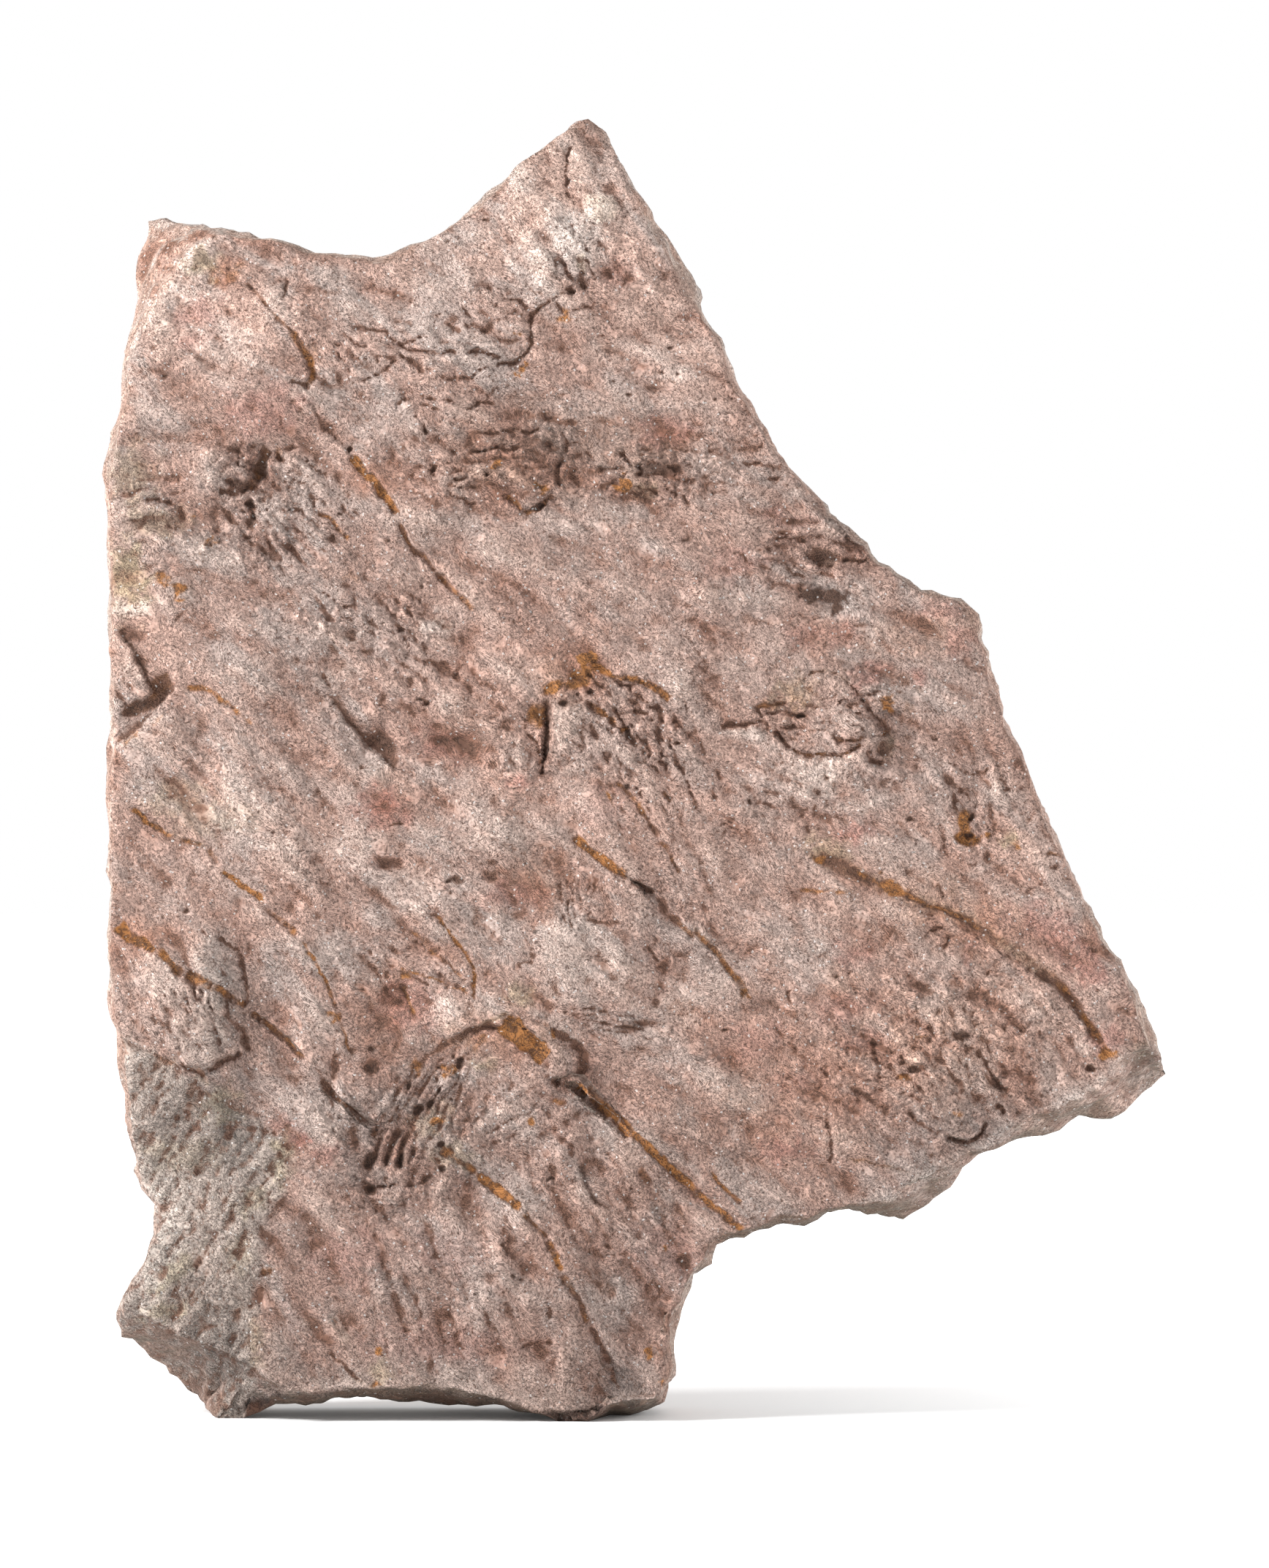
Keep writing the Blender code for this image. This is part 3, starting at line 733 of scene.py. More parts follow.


# The moulds of the stems: width, depth, rust, strength of the painted shadow in the groove, and the columns and rows
# along each

stems = {
    "aTop": (7, 0.8, 0.35, 0.4, (330, 383, 348, 398, 360, 412, 380, 435, 402, 458)),
    "aLow": (12, 1.7, 0.6, 0.35, (396, 452, 408, 466, 418, 480, 427, 505, 421, 532)),
    "bTop": (14, 1.7, 1, 0.3, (480, 620, 500, 648, 512, 658, 522, 672, 535, 690, 546, 707)),
    "bLow": (8, 1.2, 0.35, 0.6, (545, 708, 555, 735, 565, 750, 585, 768, 600, 786), {"lip": 0.3}),
    "bEnd": (12, 1.2, 0.5, 0.4, (598, 784, 615, 802, 640, 826, 660, 840), {"fade": (1, 5)}),
    "cLow": (9, 1.1, 0, 0.5, (355, 704, 370, 722, 385, 737, 398, 750, 412, 768, 425, 778)),
    "d": (10, 0.8, 0.6, 0.25, (250, 940, 288, 944, 300, 955, 320, 970, 348, 993)),
    "eFirst": (9, 0.7, 1, 0, (176, 1104, 190, 1113, 200, 1125, 215, 1133, 228, 1140, 243, 1148)),
    "eSecond": (8, 0.7, 0.55, 0, (243, 1149, 262, 1153, 282, 1157), {"olive": 0.6}),
    "eThird": (11, 0.8, 0.5, 0.45, (282, 1157, 290, 1172, 298, 1190)),
    "eFourth": (10, 0.8, 1, 0, (300, 1191, 320, 1203, 335, 1213, 350, 1223, 361, 1237)),
    "eFifth": (11, 1, 0.55, 0.4, (360, 1238, 380, 1255, 395, 1268, 411, 1283), {"ribs": 0.2}),
    "eSixth": (7, 0.7, 0.6, 0.4, (411, 1283, 425, 1305, 433, 1320, 440, 1332, 448, 1350, 456, 1368, 463, 1382)),
    "eLast": (6, 0.7, 0.5, 0, (462, 1380, 468, 1405, 475, 1425, 482, 1445)),
    "eSide": (4, 0.5, 0, 0.3, (484, 1344, 489, 1353, 496, 1364)),
    "fStart": (22, 1.2, 1.1, 0, (160, 1266, 172, 1278, 195, 1290, 216, 1301),
        {"wideEnd": 14, "fade": (0.8, 2), "ribs": 0.25}),
    "fSecond": (14, 1.4, 0.9, 0.5, (212, 1299, 225, 1308, 240, 1325, 256, 1335)),
    "fThird": (21, 1.5, 0.7, 0.6, (254, 1332, 275, 1342, 295, 1351, 310, 1360, 325, 1371, 336, 1381),
        {"wideEnd": 10, "fade": (1, 1.5), "ribs": 0.25}),
    "fFourth": (13, 1.9, 0.5, 0.6, (344, 1385, 355, 1395, 370, 1406, 385, 1419, 400, 1434, 415, 1451),
        {"wideEnd": 9, "fade": (0.8, 2)}),
    "fLast": (8, 1.4, 0.4, 0.55, (440, 1473, 447, 1488, 455, 1498, 467, 1509, 480, 1520, 490, 1529, 508, 1540)),
    "spikeStem": (9, 1.1, 0.5, 0.5, (840, 1066, 852, 1078, 870, 1096, 885, 1120, 902, 1148)),
    "spikeStemEnd": (8, 0.8, 0.55, 0.2, (901, 1146, 913, 1162, 922, 1182, 934, 1198)),
    "besideSpike": (4, 0.4, 0.8, 0, (828, 1078, 838, 1095, 841, 1114)),
    "gStart": (13, 1.4, 1, 0.4, (783, 1143, 797, 1155, 815, 1169, 830, 1180, 846, 1193, 859, 1202), {"ribs": 0.25}),
    "gHole": (12, 2.6, 0.1, 1, (862, 1203, 872, 1210, 882, 1217, 894, 1222), {"fade": (1, 0.8)}),
    "gLink": (9, 0.9, 0, 0.5, (896, 1224, 907, 1238, 918, 1250)),
    "gThird": (11, 1.3, 0.4, 0.4, (915, 1249, 930, 1262, 942, 1274, 956, 1286)),
    "gLast": (12, 1.2, 0.6, 0.4, (948, 1268, 960, 1282, 975, 1298, 990, 1315, 1003, 1333, 1015, 1348, 1025, 1360),
        {"olive": 0.3}),
    "hTrough": (26, 1.3, 0, 0, (1105, 1162, 1134, 1178, 1169, 1194, 1216, 1215, 1257, 1232, 1316, 1254, 1357, 1281,
        1404, 1313, 1450, 1347), {"flat": 0.1, "olive": 0.6, "lip": 0.3, "fade": (8, 5)}),
    "hStain": (9, 0.7, 0.6, 0.5, (1160, 1188, 1195, 1204, 1230, 1219, 1265, 1236, 1310, 1252, 1355, 1280),
        {"fade": (4, 6)}),
    "hEnd": (15, 1.6, 0.6, 0.4, (1440, 1338, 1462, 1360, 1480, 1386, 1497, 1411, 1509, 1430, 1519, 1450),
        {"flat": 0.2, "lip": 0.25}),
    "hBranch": (8, 0.6, 0.6, 0.35, (1085, 1222, 1110, 1219, 1140, 1219, 1174, 1223)),
    "blockStem": (31, 1.9, 1.3, 0, (688, 1397, 708, 1412, 728, 1430, 747, 1448),
        {"fade": (0.5, 0.5), "flat": 0.72, "lip": 0.2, "ribs": 0.05}),
    "blockShade": (8, 0.9, 0, 0.45, (656, 1402, 668, 1398, 682, 1391, 699, 1383), {"olive": 0.9}),
    "iStart": (17, 1.7, 0.9, 0.45, (784, 1482, 800, 1493, 815, 1506, 830, 1520, 845, 1532, 857, 1543, 868, 1554),
        {"fade": (0.8, 1.5)}),
    "iMiddle": (14, 1.5, 1.1, 0.35, (862, 1549, 882, 1564, 895, 1577, 907, 1590, 920, 1602, 935, 1613, 952, 1630)),
    "iEnd": (13, 1.2, 0.75, 0.4, (948, 1626, 965, 1641, 983, 1656, 1000, 1671, 1019, 1686)),
    "iBeside": (9, 0.9, 0.8, 0.2, (970, 1601, 992, 1626, 1017, 1648)),
    "iAbove": (14, 0.7, 0.35, 0.2, (870, 1592, 881, 1607, 891, 1624)),
    "jStart": (18, 1.3, 0.5, 0.25, (598, 1570, 620, 1582, 640, 1597, 655, 1608),
        {"wideEnd": 15, "olive": 0.8, "flat": 0.3}),
    "jOrange": (15, 1.5, 1.1, 0.25, (650, 1604, 668, 1618, 682, 1629, 698, 1641, 715, 1657), {"lip": 0.2}),
    "jGrey": (12, 1, 0.45, 0.5, (712, 1655, 725, 1670, 737, 1682, 749, 1697)),
    "jSecond": (12, 1.1, 0.8, 0.3, (747, 1695, 757, 1711, 763, 1725, 772, 1741)),
    "jThird": (12, 1.1, 0.45, 0.6, (770, 1740, 778, 1757, 788, 1773, 796, 1790, 807, 1814)),
    "jEnd": (14, 1, 0.25, 0.6, (806, 1812, 820, 1838, 832, 1862, 838, 1880, 847, 1908), {"wideEnd": 7, "flat": 0.2}),
    "vRight": (7, 1.1, 0.8, 0.5, (594, 1250, 607, 1265, 616, 1277, 624, 1290, 636, 1302, 644, 1317, 649, 1332,
        647, 1350, 650, 1371)),
    "vLow": (6, 0.7, 0.7, 0.35, (541, 1318, 560, 1329, 585, 1336, 602, 1343, 614, 1349, 644, 1357)),
    "vMiddle": (6, 0.6, 0.5, 0.3, (558, 1270, 578, 1288, 588, 1300, 603, 1312, 620, 1325, 636, 1341, 647, 1354)),
    "vLeft": (7, 1.1, 0.6, 0.45, (547, 1344, 556, 1360, 562, 1378, 568, 1393)),
    "bottomGroove": (6, 0.5, 0.2, 0, (468, 1865, 482, 1878, 496, 1892)),
}

# Thin cracks, slits and fine lines: width, depth, strength of their painted shadow, and the columns and rows along
# each

cracks = {
    "mainDown": (5, 1.3, 0.75, (724, 424, 728, 437, 727, 450, 728, 462, 724, 475, 716, 486, 704, 495, 679, 499)),
    "mainRight": (5, 0.8, 0.45, (727, 432, 745, 416, 776, 400), {"rust": 0.4}),
    "mainRightEnd": (3, 0.6, 0.6, (787, 425, 800, 420, 816, 409)),
    "topGroove": (3.5, 0.9, 0.4, (785, 198, 777, 212, 774, 225, 775, 245, 774, 260, 779, 278)),
    "belowTop": (4, 0.8, 0.5, (781, 304, 783, 314, 786, 323)),
    "aSide": (3, 0.5, 0.6, (391, 381, 392, 395, 384, 412)),
    "aLedge": (5, 0.8, 0.6, (394, 523, 405, 522, 426, 531)),
    "slit": [(3, 0.8, 0.5, (817, 457, 836, 458)), (3, 0.8, 0.5, (585, 541, 597, 546))],
    "cArch": (8, 0.9, 0.4, (199, 686, 222, 684, 240, 692, 250, 710)),
    "middleTop": (5, 0.9, 0.75, (663, 591, 678, 591, 688, 589, 710, 586, 718, 591, 730, 590, 738, 581)),
    "middleRight": (5, 1, 0.65, (768, 584, 774, 605, 773, 617, 763, 640, 761, 650, 767, 669)),
    "middleBottom": (6, 1, 0.5, (758, 674, 748, 685, 740, 695, 730, 700, 712, 695, 689, 674), {"rust": 0.6}),
    "rightOfMiddle": [(5, 1, 0.7, (849, 622, 860, 632, 868, 640)), (5, 1, 0.7, (874, 633, 878, 645, 873, 652)),
        (4, 0.8, 0.65, (908, 664, 918, 672, 929, 679)), (4, 0.8, 0.4, (930, 676, 940, 687, 945, 696))],
    "rightWave": (3, 0.5, 0.35, (970, 559, 985, 566, 1004, 564, 1030, 568)),
    "rightSlit": [(5, 0.8, 0.6, (1007, 755, 1015, 760, 1022, 767)), (5, 1, 0.6, (1060, 727, 1085, 727)),
        (5, 1, 0.6, (1058, 736, 1080, 737, 1102, 738)), (5, 1, 0.6, (1150, 766, 1172, 767, 1197, 764)),
        (5, 1, 0.6, (1048, 652, 1058, 655, 1068, 653)), (6, 1, 0.6, (1082, 788, 1092, 783, 1105, 790))],
    "flap": [(4, 0.6, 0.3, (165, 928, 180, 942, 190, 958), {"rust": 0.3}),
        (4, 0.5, 0.25, (176, 916, 190, 934, 200, 950)), (4, 0.6, 0.3, (157, 946, 168, 958, 176, 975))],
    "leftRed": (4, 0.4, 0.3, (268, 1012, 270, 1025, 276, 1034)),
    "leftPits": [(4, 0.8, 0.5, (440, 918, 445, 928, 452, 946)), (4, 0.8, 0.6, (470, 843, 484, 848)),
        (4, 0.8, 0.6, (516, 868, 524, 876, 532, 875)), (4, 0.8, 0.6, (430, 890, 440, 897)),
        (4, 0.8, 0.4, (485, 1048, 500, 1052))],
    "aboveStemE": (3, 0.8, 0.3, (528, 1130, 540, 1128, 552, 1128), {"rust": 0.5}),
    "spikeLeft": [(5, 0.7, 0.45, (628, 908, 627, 920, 624, 932)), (4, 0.6, 0.35, (640, 914, 660, 930, 681, 946)),
        (5, 1, 0.7, (575, 952, 582, 962, 588, 958)), (4, 0.8, 0.4, (554, 830, 560, 840, 568, 848))],
    "spike": (7, 2.4, 1, (747, 958, 750, 980, 748, 1000, 746, 1020, 743, 1042, 743, 1068),
        {"wideEnd": 4, "fade": (1, 2.5)}),
    "spikeNet": (4, 0.8, 0.4, (722, 1000, 735, 1020, 738, 1050), {"rust": 0.6}),
    "crownSlit": [(5, 1, 0.6, (800, 918, 815, 932, 830, 945, 842, 953), {"rust": 0.3}),
        (7, 1.3, 0.8, (836, 930, 848, 936, 860, 939, 872, 938))],
    "crownArc": [(9, 0.9, 0.2, (808, 905, 825, 917, 845, 926, 865, 930, 885, 935, 903, 946, 917, 958), {"rust": 0.9}),
        (9, 1.2, 0.35, (804, 960, 818, 972, 832, 983, 846, 992, 857, 1003), {"rust": 0.6}),
        (5, 0.8, 0.4, (840, 978, 850, 974, 875, 974, 892, 978), {"rust": 0.3}),
        (7, 0.9, 0.35, (857, 1002, 868, 1015, 878, 1030, 884, 1050), {"rust": 0.3}),
        (5, 0.8, 0.4, (900, 1032, 922, 1038, 933, 1055, 943, 1080, 954, 1108)),
        (10, 0.9, 0.45, (893, 962, 903, 975, 907, 995)), (7, 1.3, 0.8, (918, 1003, 922, 1013, 932, 1018)),
        (4, 0.6, 0.35, (826, 1015, 838, 1030, 850, 1050, 851, 1070))],
    "crownSmall": [(4, 0.6, 0.45, (772, 1030, 780, 1042, 786, 1052)),
        (7, 0.8, 0.4, (905, 1083, 912, 1090, 918, 1098), {"rust": 0.4})],
    "underCrown": (3, 0.4, 0.4, (852, 1133, 872, 1134)),
    "ringTop": [(4, 0.6, 0.25, (1098, 930, 1115, 920, 1135, 919, 1152, 928, 1165, 939), {"olive": 0.3}),
        (4, 1.2, 0.7, (1162, 933, 1172, 947, 1190, 950, 1205, 947))],
    "ringRight": [(3.5, 1.2, 0.7, (1175, 954, 1190, 970, 1205, 986, 1220, 1001)),
        (5, 0.8, 0.3, (1202, 954, 1212, 966, 1224, 975), {"rust": 0.7})],
    "ringLeft": [(6, 0.8, 0.35, (1032, 968, 1045, 965, 1062, 960, 1076, 965), {"rust": 0.4}),
        (5, 0.9, 0.5, (1032, 967, 1043, 982, 1053, 999))],
    "ringSlit": (5, 1.1, 0.7, (984, 994, 1000, 990, 1015, 991, 1032, 988, 1046, 989)),
    "bowlLeft": (7, 1.6, 0.9, (1059, 999, 1070, 1012, 1082, 1026)),
    "bowlLow": (4, 0.9, 0.2, (1080, 1024, 1095, 1031, 1120, 1034, 1150, 1034, 1165, 1026, 1182, 1017), {"rust": 0.5}),
    "bowlInner": (5, 0.8, 0.3, (1135, 1004, 1152, 1012, 1178, 1012, 1200, 1006, 1216, 998), {"rust": 0.45}),
    "bowlRight": (9, 1.4, 0.7, (1188, 1037, 1198, 1043, 1208, 1044)),
    "underRing": [(5, 0.8, 0.6, (978, 1052, 984, 1058, 983, 1066)), (5, 0.8, 0.6, (972, 1078, 977, 1088, 980, 1098)),
        (6, 0.8, 0.45, (1046, 1098, 1056, 1104, 1068, 1108), {"rust": 0.2}),
        (5, 0.8, 0.5, (1098, 1128, 1103, 1136, 1106, 1143))],
    "edgeCrown": [(6, 1.4, 0.7, (1305, 1086, 1308, 1103, 1312, 1120)),
        (12, 0.8, 0.4, (1310, 1079, 1325, 1083, 1340, 1090)),
        (5, 0.8, 0.45, (1300, 1045, 1320, 1055, 1345, 1056, 1358, 1048)),
        (4, 0.6, 0.35, (1368, 1081, 1385, 1079, 1402, 1078))],
    "edgeLine": [(3, 0.4, 0.3, (1400, 1222, 1415, 1215, 1431, 1205)),
        (5, 0.6, 0.2, (1428, 1170, 1445, 1168, 1457, 1167), {"rust": 0.5}),
        (5, 0.8, 0.6, (1432, 1183, 1440, 1186, 1450, 1186))],
    "slitRight": [(5, 1, 0.75, (1297, 1278, 1295, 1288, 1291, 1299)),
        (3, 0.8, 0.5, (1264, 1285, 1270, 1275, 1282, 1270, 1290, 1267)), (4, 1, 0.8, (1353, 1323, 1350, 1338)),
        (4, 1, 0.75, (1166, 1326, 1158, 1334)), (6, 0.7, 0.4, (1078, 1353, 1081, 1364, 1085, 1376)),
        (3, 0.8, 0.5, (1276, 1216, 1283, 1210, 1288, 1222, 1292, 1232)),
        (7, 1.2, 0.8, (1484, 1463, 1492, 1462, 1502, 1464)), (4, 0.8, 0.6, (1420, 1408, 1423, 1418))],
    "edgeSlit": [(4, 0.8, 0.5, (1488, 1299, 1495, 1303, 1503, 1301)), (5, 0.8, 0.5, (1500, 1346, 1503, 1358))],
    "lowCrack": [(3, 0.7, 0.6, (1052, 1390, 1060, 1405, 1071, 1420)), (4, 0.9, 0.7, (1080, 1426, 1094, 1439)),
        (4, 1, 0.6, (1130, 1520, 1133, 1545, 1138, 1568, 1134, 1592)),
        (4, 0.9, 0.5, (1194, 1418, 1196, 1440, 1202, 1460, 1206, 1478)),
        (3, 0.8, 0.5, (1120, 1460, 1127, 1470, 1133, 1478))],
    "notchGroove": (5, 1.3, 0.6, (1336, 1436, 1348, 1453, 1360, 1475, 1368, 1486, 1382, 1492)),
    "notch": (5, 2, 1, (1294, 1553, 1310, 1560, 1327, 1563, 1343, 1550, 1352, 1537)),
    "notchAbove": (7, 1.3, 0.7, (1362, 1508, 1368, 1517, 1374, 1526)),
    "notchLeft": (5, 0.8, 0.4, (1240, 1520, 1262, 1538, 1285, 1552)),
    "lowOrange": (5, 0.5, 0.6, (1164, 1586, 1185, 1590, 1215, 1596, 1247, 1603), {"rust": 0.35, "olive": 0.4}),
    "armSpur": [(6, 1.3, 0.8, (273, 1350, 277, 1357, 282, 1364)), (6, 1.4, 0.8, (308, 1366, 311, 1380, 313, 1393))],
    "armTop": [(6, 1, 0.6, (327, 1303, 332, 1325, 336, 1345, 336, 1365, 333, 1380)),
        (5, 1.1, 0.55, (299, 1278, 308, 1292, 318, 1298, 327, 1296)),
        (5, 0.7, 0.45, (272, 1268, 280, 1278, 287, 1288))],
    "armLine": [(4, 0.6, 0.25, (286, 1362, 294, 1390, 300, 1420, 304, 1445)),
        (4, 0.7, 0.4, (313, 1398, 318, 1415, 326, 1432)), (4, 0.5, 0.2, (258, 1368, 266, 1395, 274, 1425, 277, 1445)),
        (4, 0.7, 0.35, (306, 1325, 311, 1345, 314, 1362))],
    "armHollow": (9, 1.2, 0.3, (331, 1404, 335, 1420, 338, 1440), {"olive": 0.4}),
    "armFoot": [(6, 1.4, 0.7, (245, 1453, 262, 1464, 283, 1474)),
        (8, 1.3, 0.8, (284, 1464, 300, 1456, 315, 1447, 330, 1441))],
    "crossLine": [(4, 0.6, 0.35, (802, 1260, 815, 1259, 835, 1262, 856, 1267)),
        (5, 0.6, 0.3, (879, 1283, 890, 1300, 903, 1317)), (4, 0.5, 0.25, (832, 1304, 850, 1315, 869, 1326))],
    "zigzag": (3, 0.7, 0.5, (727, 1299, 728, 1319, 720, 1314, 713, 1319, 705, 1324)),
    "lobeShade": (10, 1.2, 0.5, (752, 1410, 770, 1416, 787, 1427, 797, 1441, 799, 1458, 792, 1472), {"fade": (1, 1)}),
    "lobeFoot": (10, 1.8, 1, (752, 1480, 768, 1482, 785, 1486, 803, 1497), {"fade": (0.8, 2)}),
    "iSlit": (6, 1, 0.75, (806, 1503, 825, 1522, 845, 1541, 864, 1557)),
    "bSlit": (5, 0.9, 0.8, (596, 782, 606, 793, 616, 803)),
    "footSlit": [(5, 0.8, 0.45, (684, 1699, 690, 1707, 695, 1716)), (4, 0.8, 0.6, (855, 1688, 859, 1698)),
        (4, 0.8, 0.5, (751, 1787, 754, 1796, 756, 1806)), (4, 0.8, 0.5, (908, 1796, 915, 1800, 917, 1810))],
    "footArc": (4, 0.6, 0.3, (698, 1850, 720, 1842, 742, 1836, 757, 1843)),
    "chipEdge": (5, 0.9, 0.65, (453, 1802, 461, 1814, 470, 1828)),
    "redLine": (7, 0.4, 0.6, (352, 1748, 362, 1742, 378, 1738), {"rust": 0.3}),
    "lowLeftLine": (5, 0.7, 0.25, (444, 1848, 462, 1862, 480, 1878, 498, 1896), {"olive": 0.3}),
    "topRing": (4, 0.9, 0.5, (724, 426, 716, 417, 706, 412, 694, 411, 684, 408, 676, 402, 668, 394, 661, 388)),
    "topInner": (5, 1.2, 0.75, (636, 484, 641, 481, 652, 479, 662, 480, 669, 482, 676, 487)),
    "topPit": (8, 1.4, 0.9, (674, 485, 677, 488, 680, 490)),
    "topLow": [(4, 0.8, 0.5, (600, 514, 608, 517, 620, 517, 631, 519, 642, 516, 654, 507, 668, 499)),
        (3, 0.6, 0.35, (702, 526, 690, 526, 679, 531, 670, 541, 662, 552))],
    "topLong": (4, 0.8, 0.4, (480, 450, 498, 449, 514, 451, 526, 454, 534, 461, 545, 468, 556, 475, 570, 478,
        586, 482, 604, 481, 626, 480)),
    "topHook": (4, 0.8, 0.4, (583, 452, 576, 460, 566, 466, 552, 468, 544, 465)),
    "topFork": (4, 0.8, 0.45, (512, 485, 526, 486, 541, 488, 553, 488, 563, 493, 571, 501, 580, 511)),
    "topForkLow": (4, 0.7, 0.35, (540, 489, 533, 499, 522, 508, 509, 514, 494, 523)),
    "topEye": (6, 1, 0.6, (605, 439, 612, 443, 620, 448, 632, 452)),
    "topBeak": [(5, 1.1, 0.7, (741, 416, 736, 424, 730, 432)), (4, 0.9, 0.6, (759, 413, 767, 421, 774, 428)),
        (4, 0.9, 0.6, (786, 422, 797, 420, 806, 419, 815, 424)), (9, 1.4, 0.9, (774, 392, 780, 398, 784, 404)),
        (8, 1.2, 0.7, (793, 386, 800, 392, 806, 390)), (3, 0.6, 0.4, (732, 455, 742, 457, 752, 454, 763, 449))],
    "topUnder": [(4, 0.9, 0.5, (574, 540, 584, 545, 598, 547, 614, 548, 626, 552)),
        (4, 0.8, 0.5, (541, 556, 550, 548, 562, 546)), (5, 0.9, 0.5, (634, 562, 648, 554, 662, 549, 678, 551)),
        (3, 0.8, 0.5, (576, 550, 588, 556, 602, 561))],
    "middleFold": [(4, 1, 0.5, (640, 620, 650, 618, 661, 617, 671, 613, 683, 611, 696, 608, 708, 607)),
        (5, 1.1, 0.65, (680, 612, 688, 616, 698, 614, 708, 611, 718, 614)),
        (5, 1.1, 0.6, (661, 646, 668, 648, 680, 649, 690, 651, 698, 648)),
        (4, 0.9, 0.5, (611, 650, 621, 646, 631, 643, 641, 640)), (5, 1.1, 0.75, (620, 656, 630, 655, 641, 651)),
        (5, 0.9, 0.5, (609, 672, 619, 676, 630, 682, 641, 688, 651, 690)),
        (5, 0.9, 0.6, (618, 611, 622, 619, 622, 628)), (4, 0.8, 0.5, (566, 568, 574, 574, 580, 583, 583, 594)),
        (3, 0.7, 0.35, (640, 656, 646, 665, 656, 676, 668, 682))],
    "middleMouth": (6, 1.6, 1, (585, 644, 591, 643, 599, 640)),
    "middleSide": [(4, 0.9, 0.6, (769, 646, 778, 645, 788, 640)),
        (4, 0.8, 0.5, (778, 648, 787, 653, 792, 661, 790, 670)),
        (4, 0.8, 0.4, (788, 627, 797, 619, 807, 621, 815, 631)), (6, 0.8, 0.5, (820, 664, 832, 665)),
        (4, 1, 0.8, (846, 621, 851, 623, 858, 626)), (4, 0.9, 0.7, (873, 632, 875, 642))],
    "middleShade": (9, 0.8, 0.45, (741, 571, 752, 572, 764, 575, 778, 579, 792, 578)),
    "leftHollow": (15, 1.7, 0.5, (368, 612, 361, 622, 356, 634, 352, 648, 346, 660, 337, 668), {"rust": 0.4}),
    "leftBand": (8, 1.1, 0.65, (299, 673, 312, 671, 325, 673, 338, 668)),
    "leftBranch": (5, 1, 0.65, (321, 632, 331, 637, 341, 643, 352, 646)),
    "leftTwig": (3, 0.7, 0.5, (323, 632, 327, 622, 323, 611)),
    "leftPocket": (7, 1.3, 0.8, (377, 617, 382, 627, 389, 625)),
    "leftTop": (7, 0.9, 0.5, (382, 614, 393, 614, 404, 611)),
    "leftShaft": (8, 1.1, 0.6, (340, 689, 344, 700, 346, 712)),
    "leftFold": [(4, 0.8, 0.5, (327, 690, 333, 701, 341, 712, 348, 719)),
        (3, 0.8, 0.4, (395, 622, 405, 624, 416, 629, 428, 638, 438, 645, 450, 652)),
        (3, 0.7, 0.35, (395, 663, 405, 656, 415, 662, 425, 668, 433, 674)),
        (4, 0.7, 0.45, (384, 695, 395, 697, 406, 697, 416, 700), {"rust": 0.2}),
        (4, 0.8, 0.45, (340, 741, 350, 744, 360, 752, 370, 765, 380, 775, 389, 787, 393, 796))],
    "leftRidge": (6, 0.4, 0, (433, 703, 447, 706, 458, 715, 467, 727, 474, 735, 478, 742), {"rust": 0.7}),
    "leftUnder": (9, 0.9, 0.4, (445, 728, 455, 738, 462, 742)),
    "peakDrip": [(6, 1, 0.5, (768, 355, 771, 363, 775, 372, 782, 384, 785, 390)),
        (5, 0.9, 0.45, (800, 330, 802, 350, 808, 370, 815, 385))],
    "peakYellow": (9, 0.4, 0, (792, 345, 795, 360, 800, 375), {"olive": 0.6}),
}

# Grooves between the arms of the crowns: how many, width, depth, strength of their painted shadow, and along the
# first and the last

fans = {
    "armsLowerLeft": (9, 7, 1.1, 0.35, (690, 1404, 664, 1420, 650, 1442, 640, 1470, 627, 1500, 619, 1530, 614, 1565),
        (672, 1399, 645, 1406, 610, 1425, 580, 1450, 555, 1480, 533, 1515, 515, 1545, 498, 1585), {"rust": 0.25}),
    "armsFingers": (4, 9, 2, 0.85, (532, 1540, 520, 1562, 510, 1598), (575, 1545, 566, 1572, 556, 1608)),
    "spikeArms": (6, 6, 0.7, 0.25, (812, 962, 850, 1000, 872, 1050, 880, 1095), (905, 935, 935, 965, 955, 1010,
        965, 1060)),
    "verticalLines": (6, 4, 1, 0.5, (765, 1200, 768, 1238, 777, 1284), (816, 1195, 812, 1225, 806, 1262)),
    "levelLines": (4, 5, 1.1, 0.55, (772, 1378, 810, 1381, 850, 1388, 892, 1392), (778, 1399, 812, 1404, 845, 1412,
        900, 1422)),
    "blockArms": (3, 4, 0.5, 0.22, (210, 1352, 224, 1372, 232, 1400, 240, 1430), (236, 1352, 243, 1380, 250, 1410,
        256, 1440)),
    "ringArms": (4, 4, 0.8, 0.4, (1040, 975, 1075, 975, 1100, 985), (1062, 1000, 1100, 1006, 1140, 1005)),
    "belowRing": (4, 4, 0.8, 0.4, (1100, 1090, 1104, 1112, 1112, 1132), (1140, 1085, 1142, 1105, 1148, 1128)),
}

# Steps in the bedding: how high, which side stands higher, how wide in millimetres, and along the step

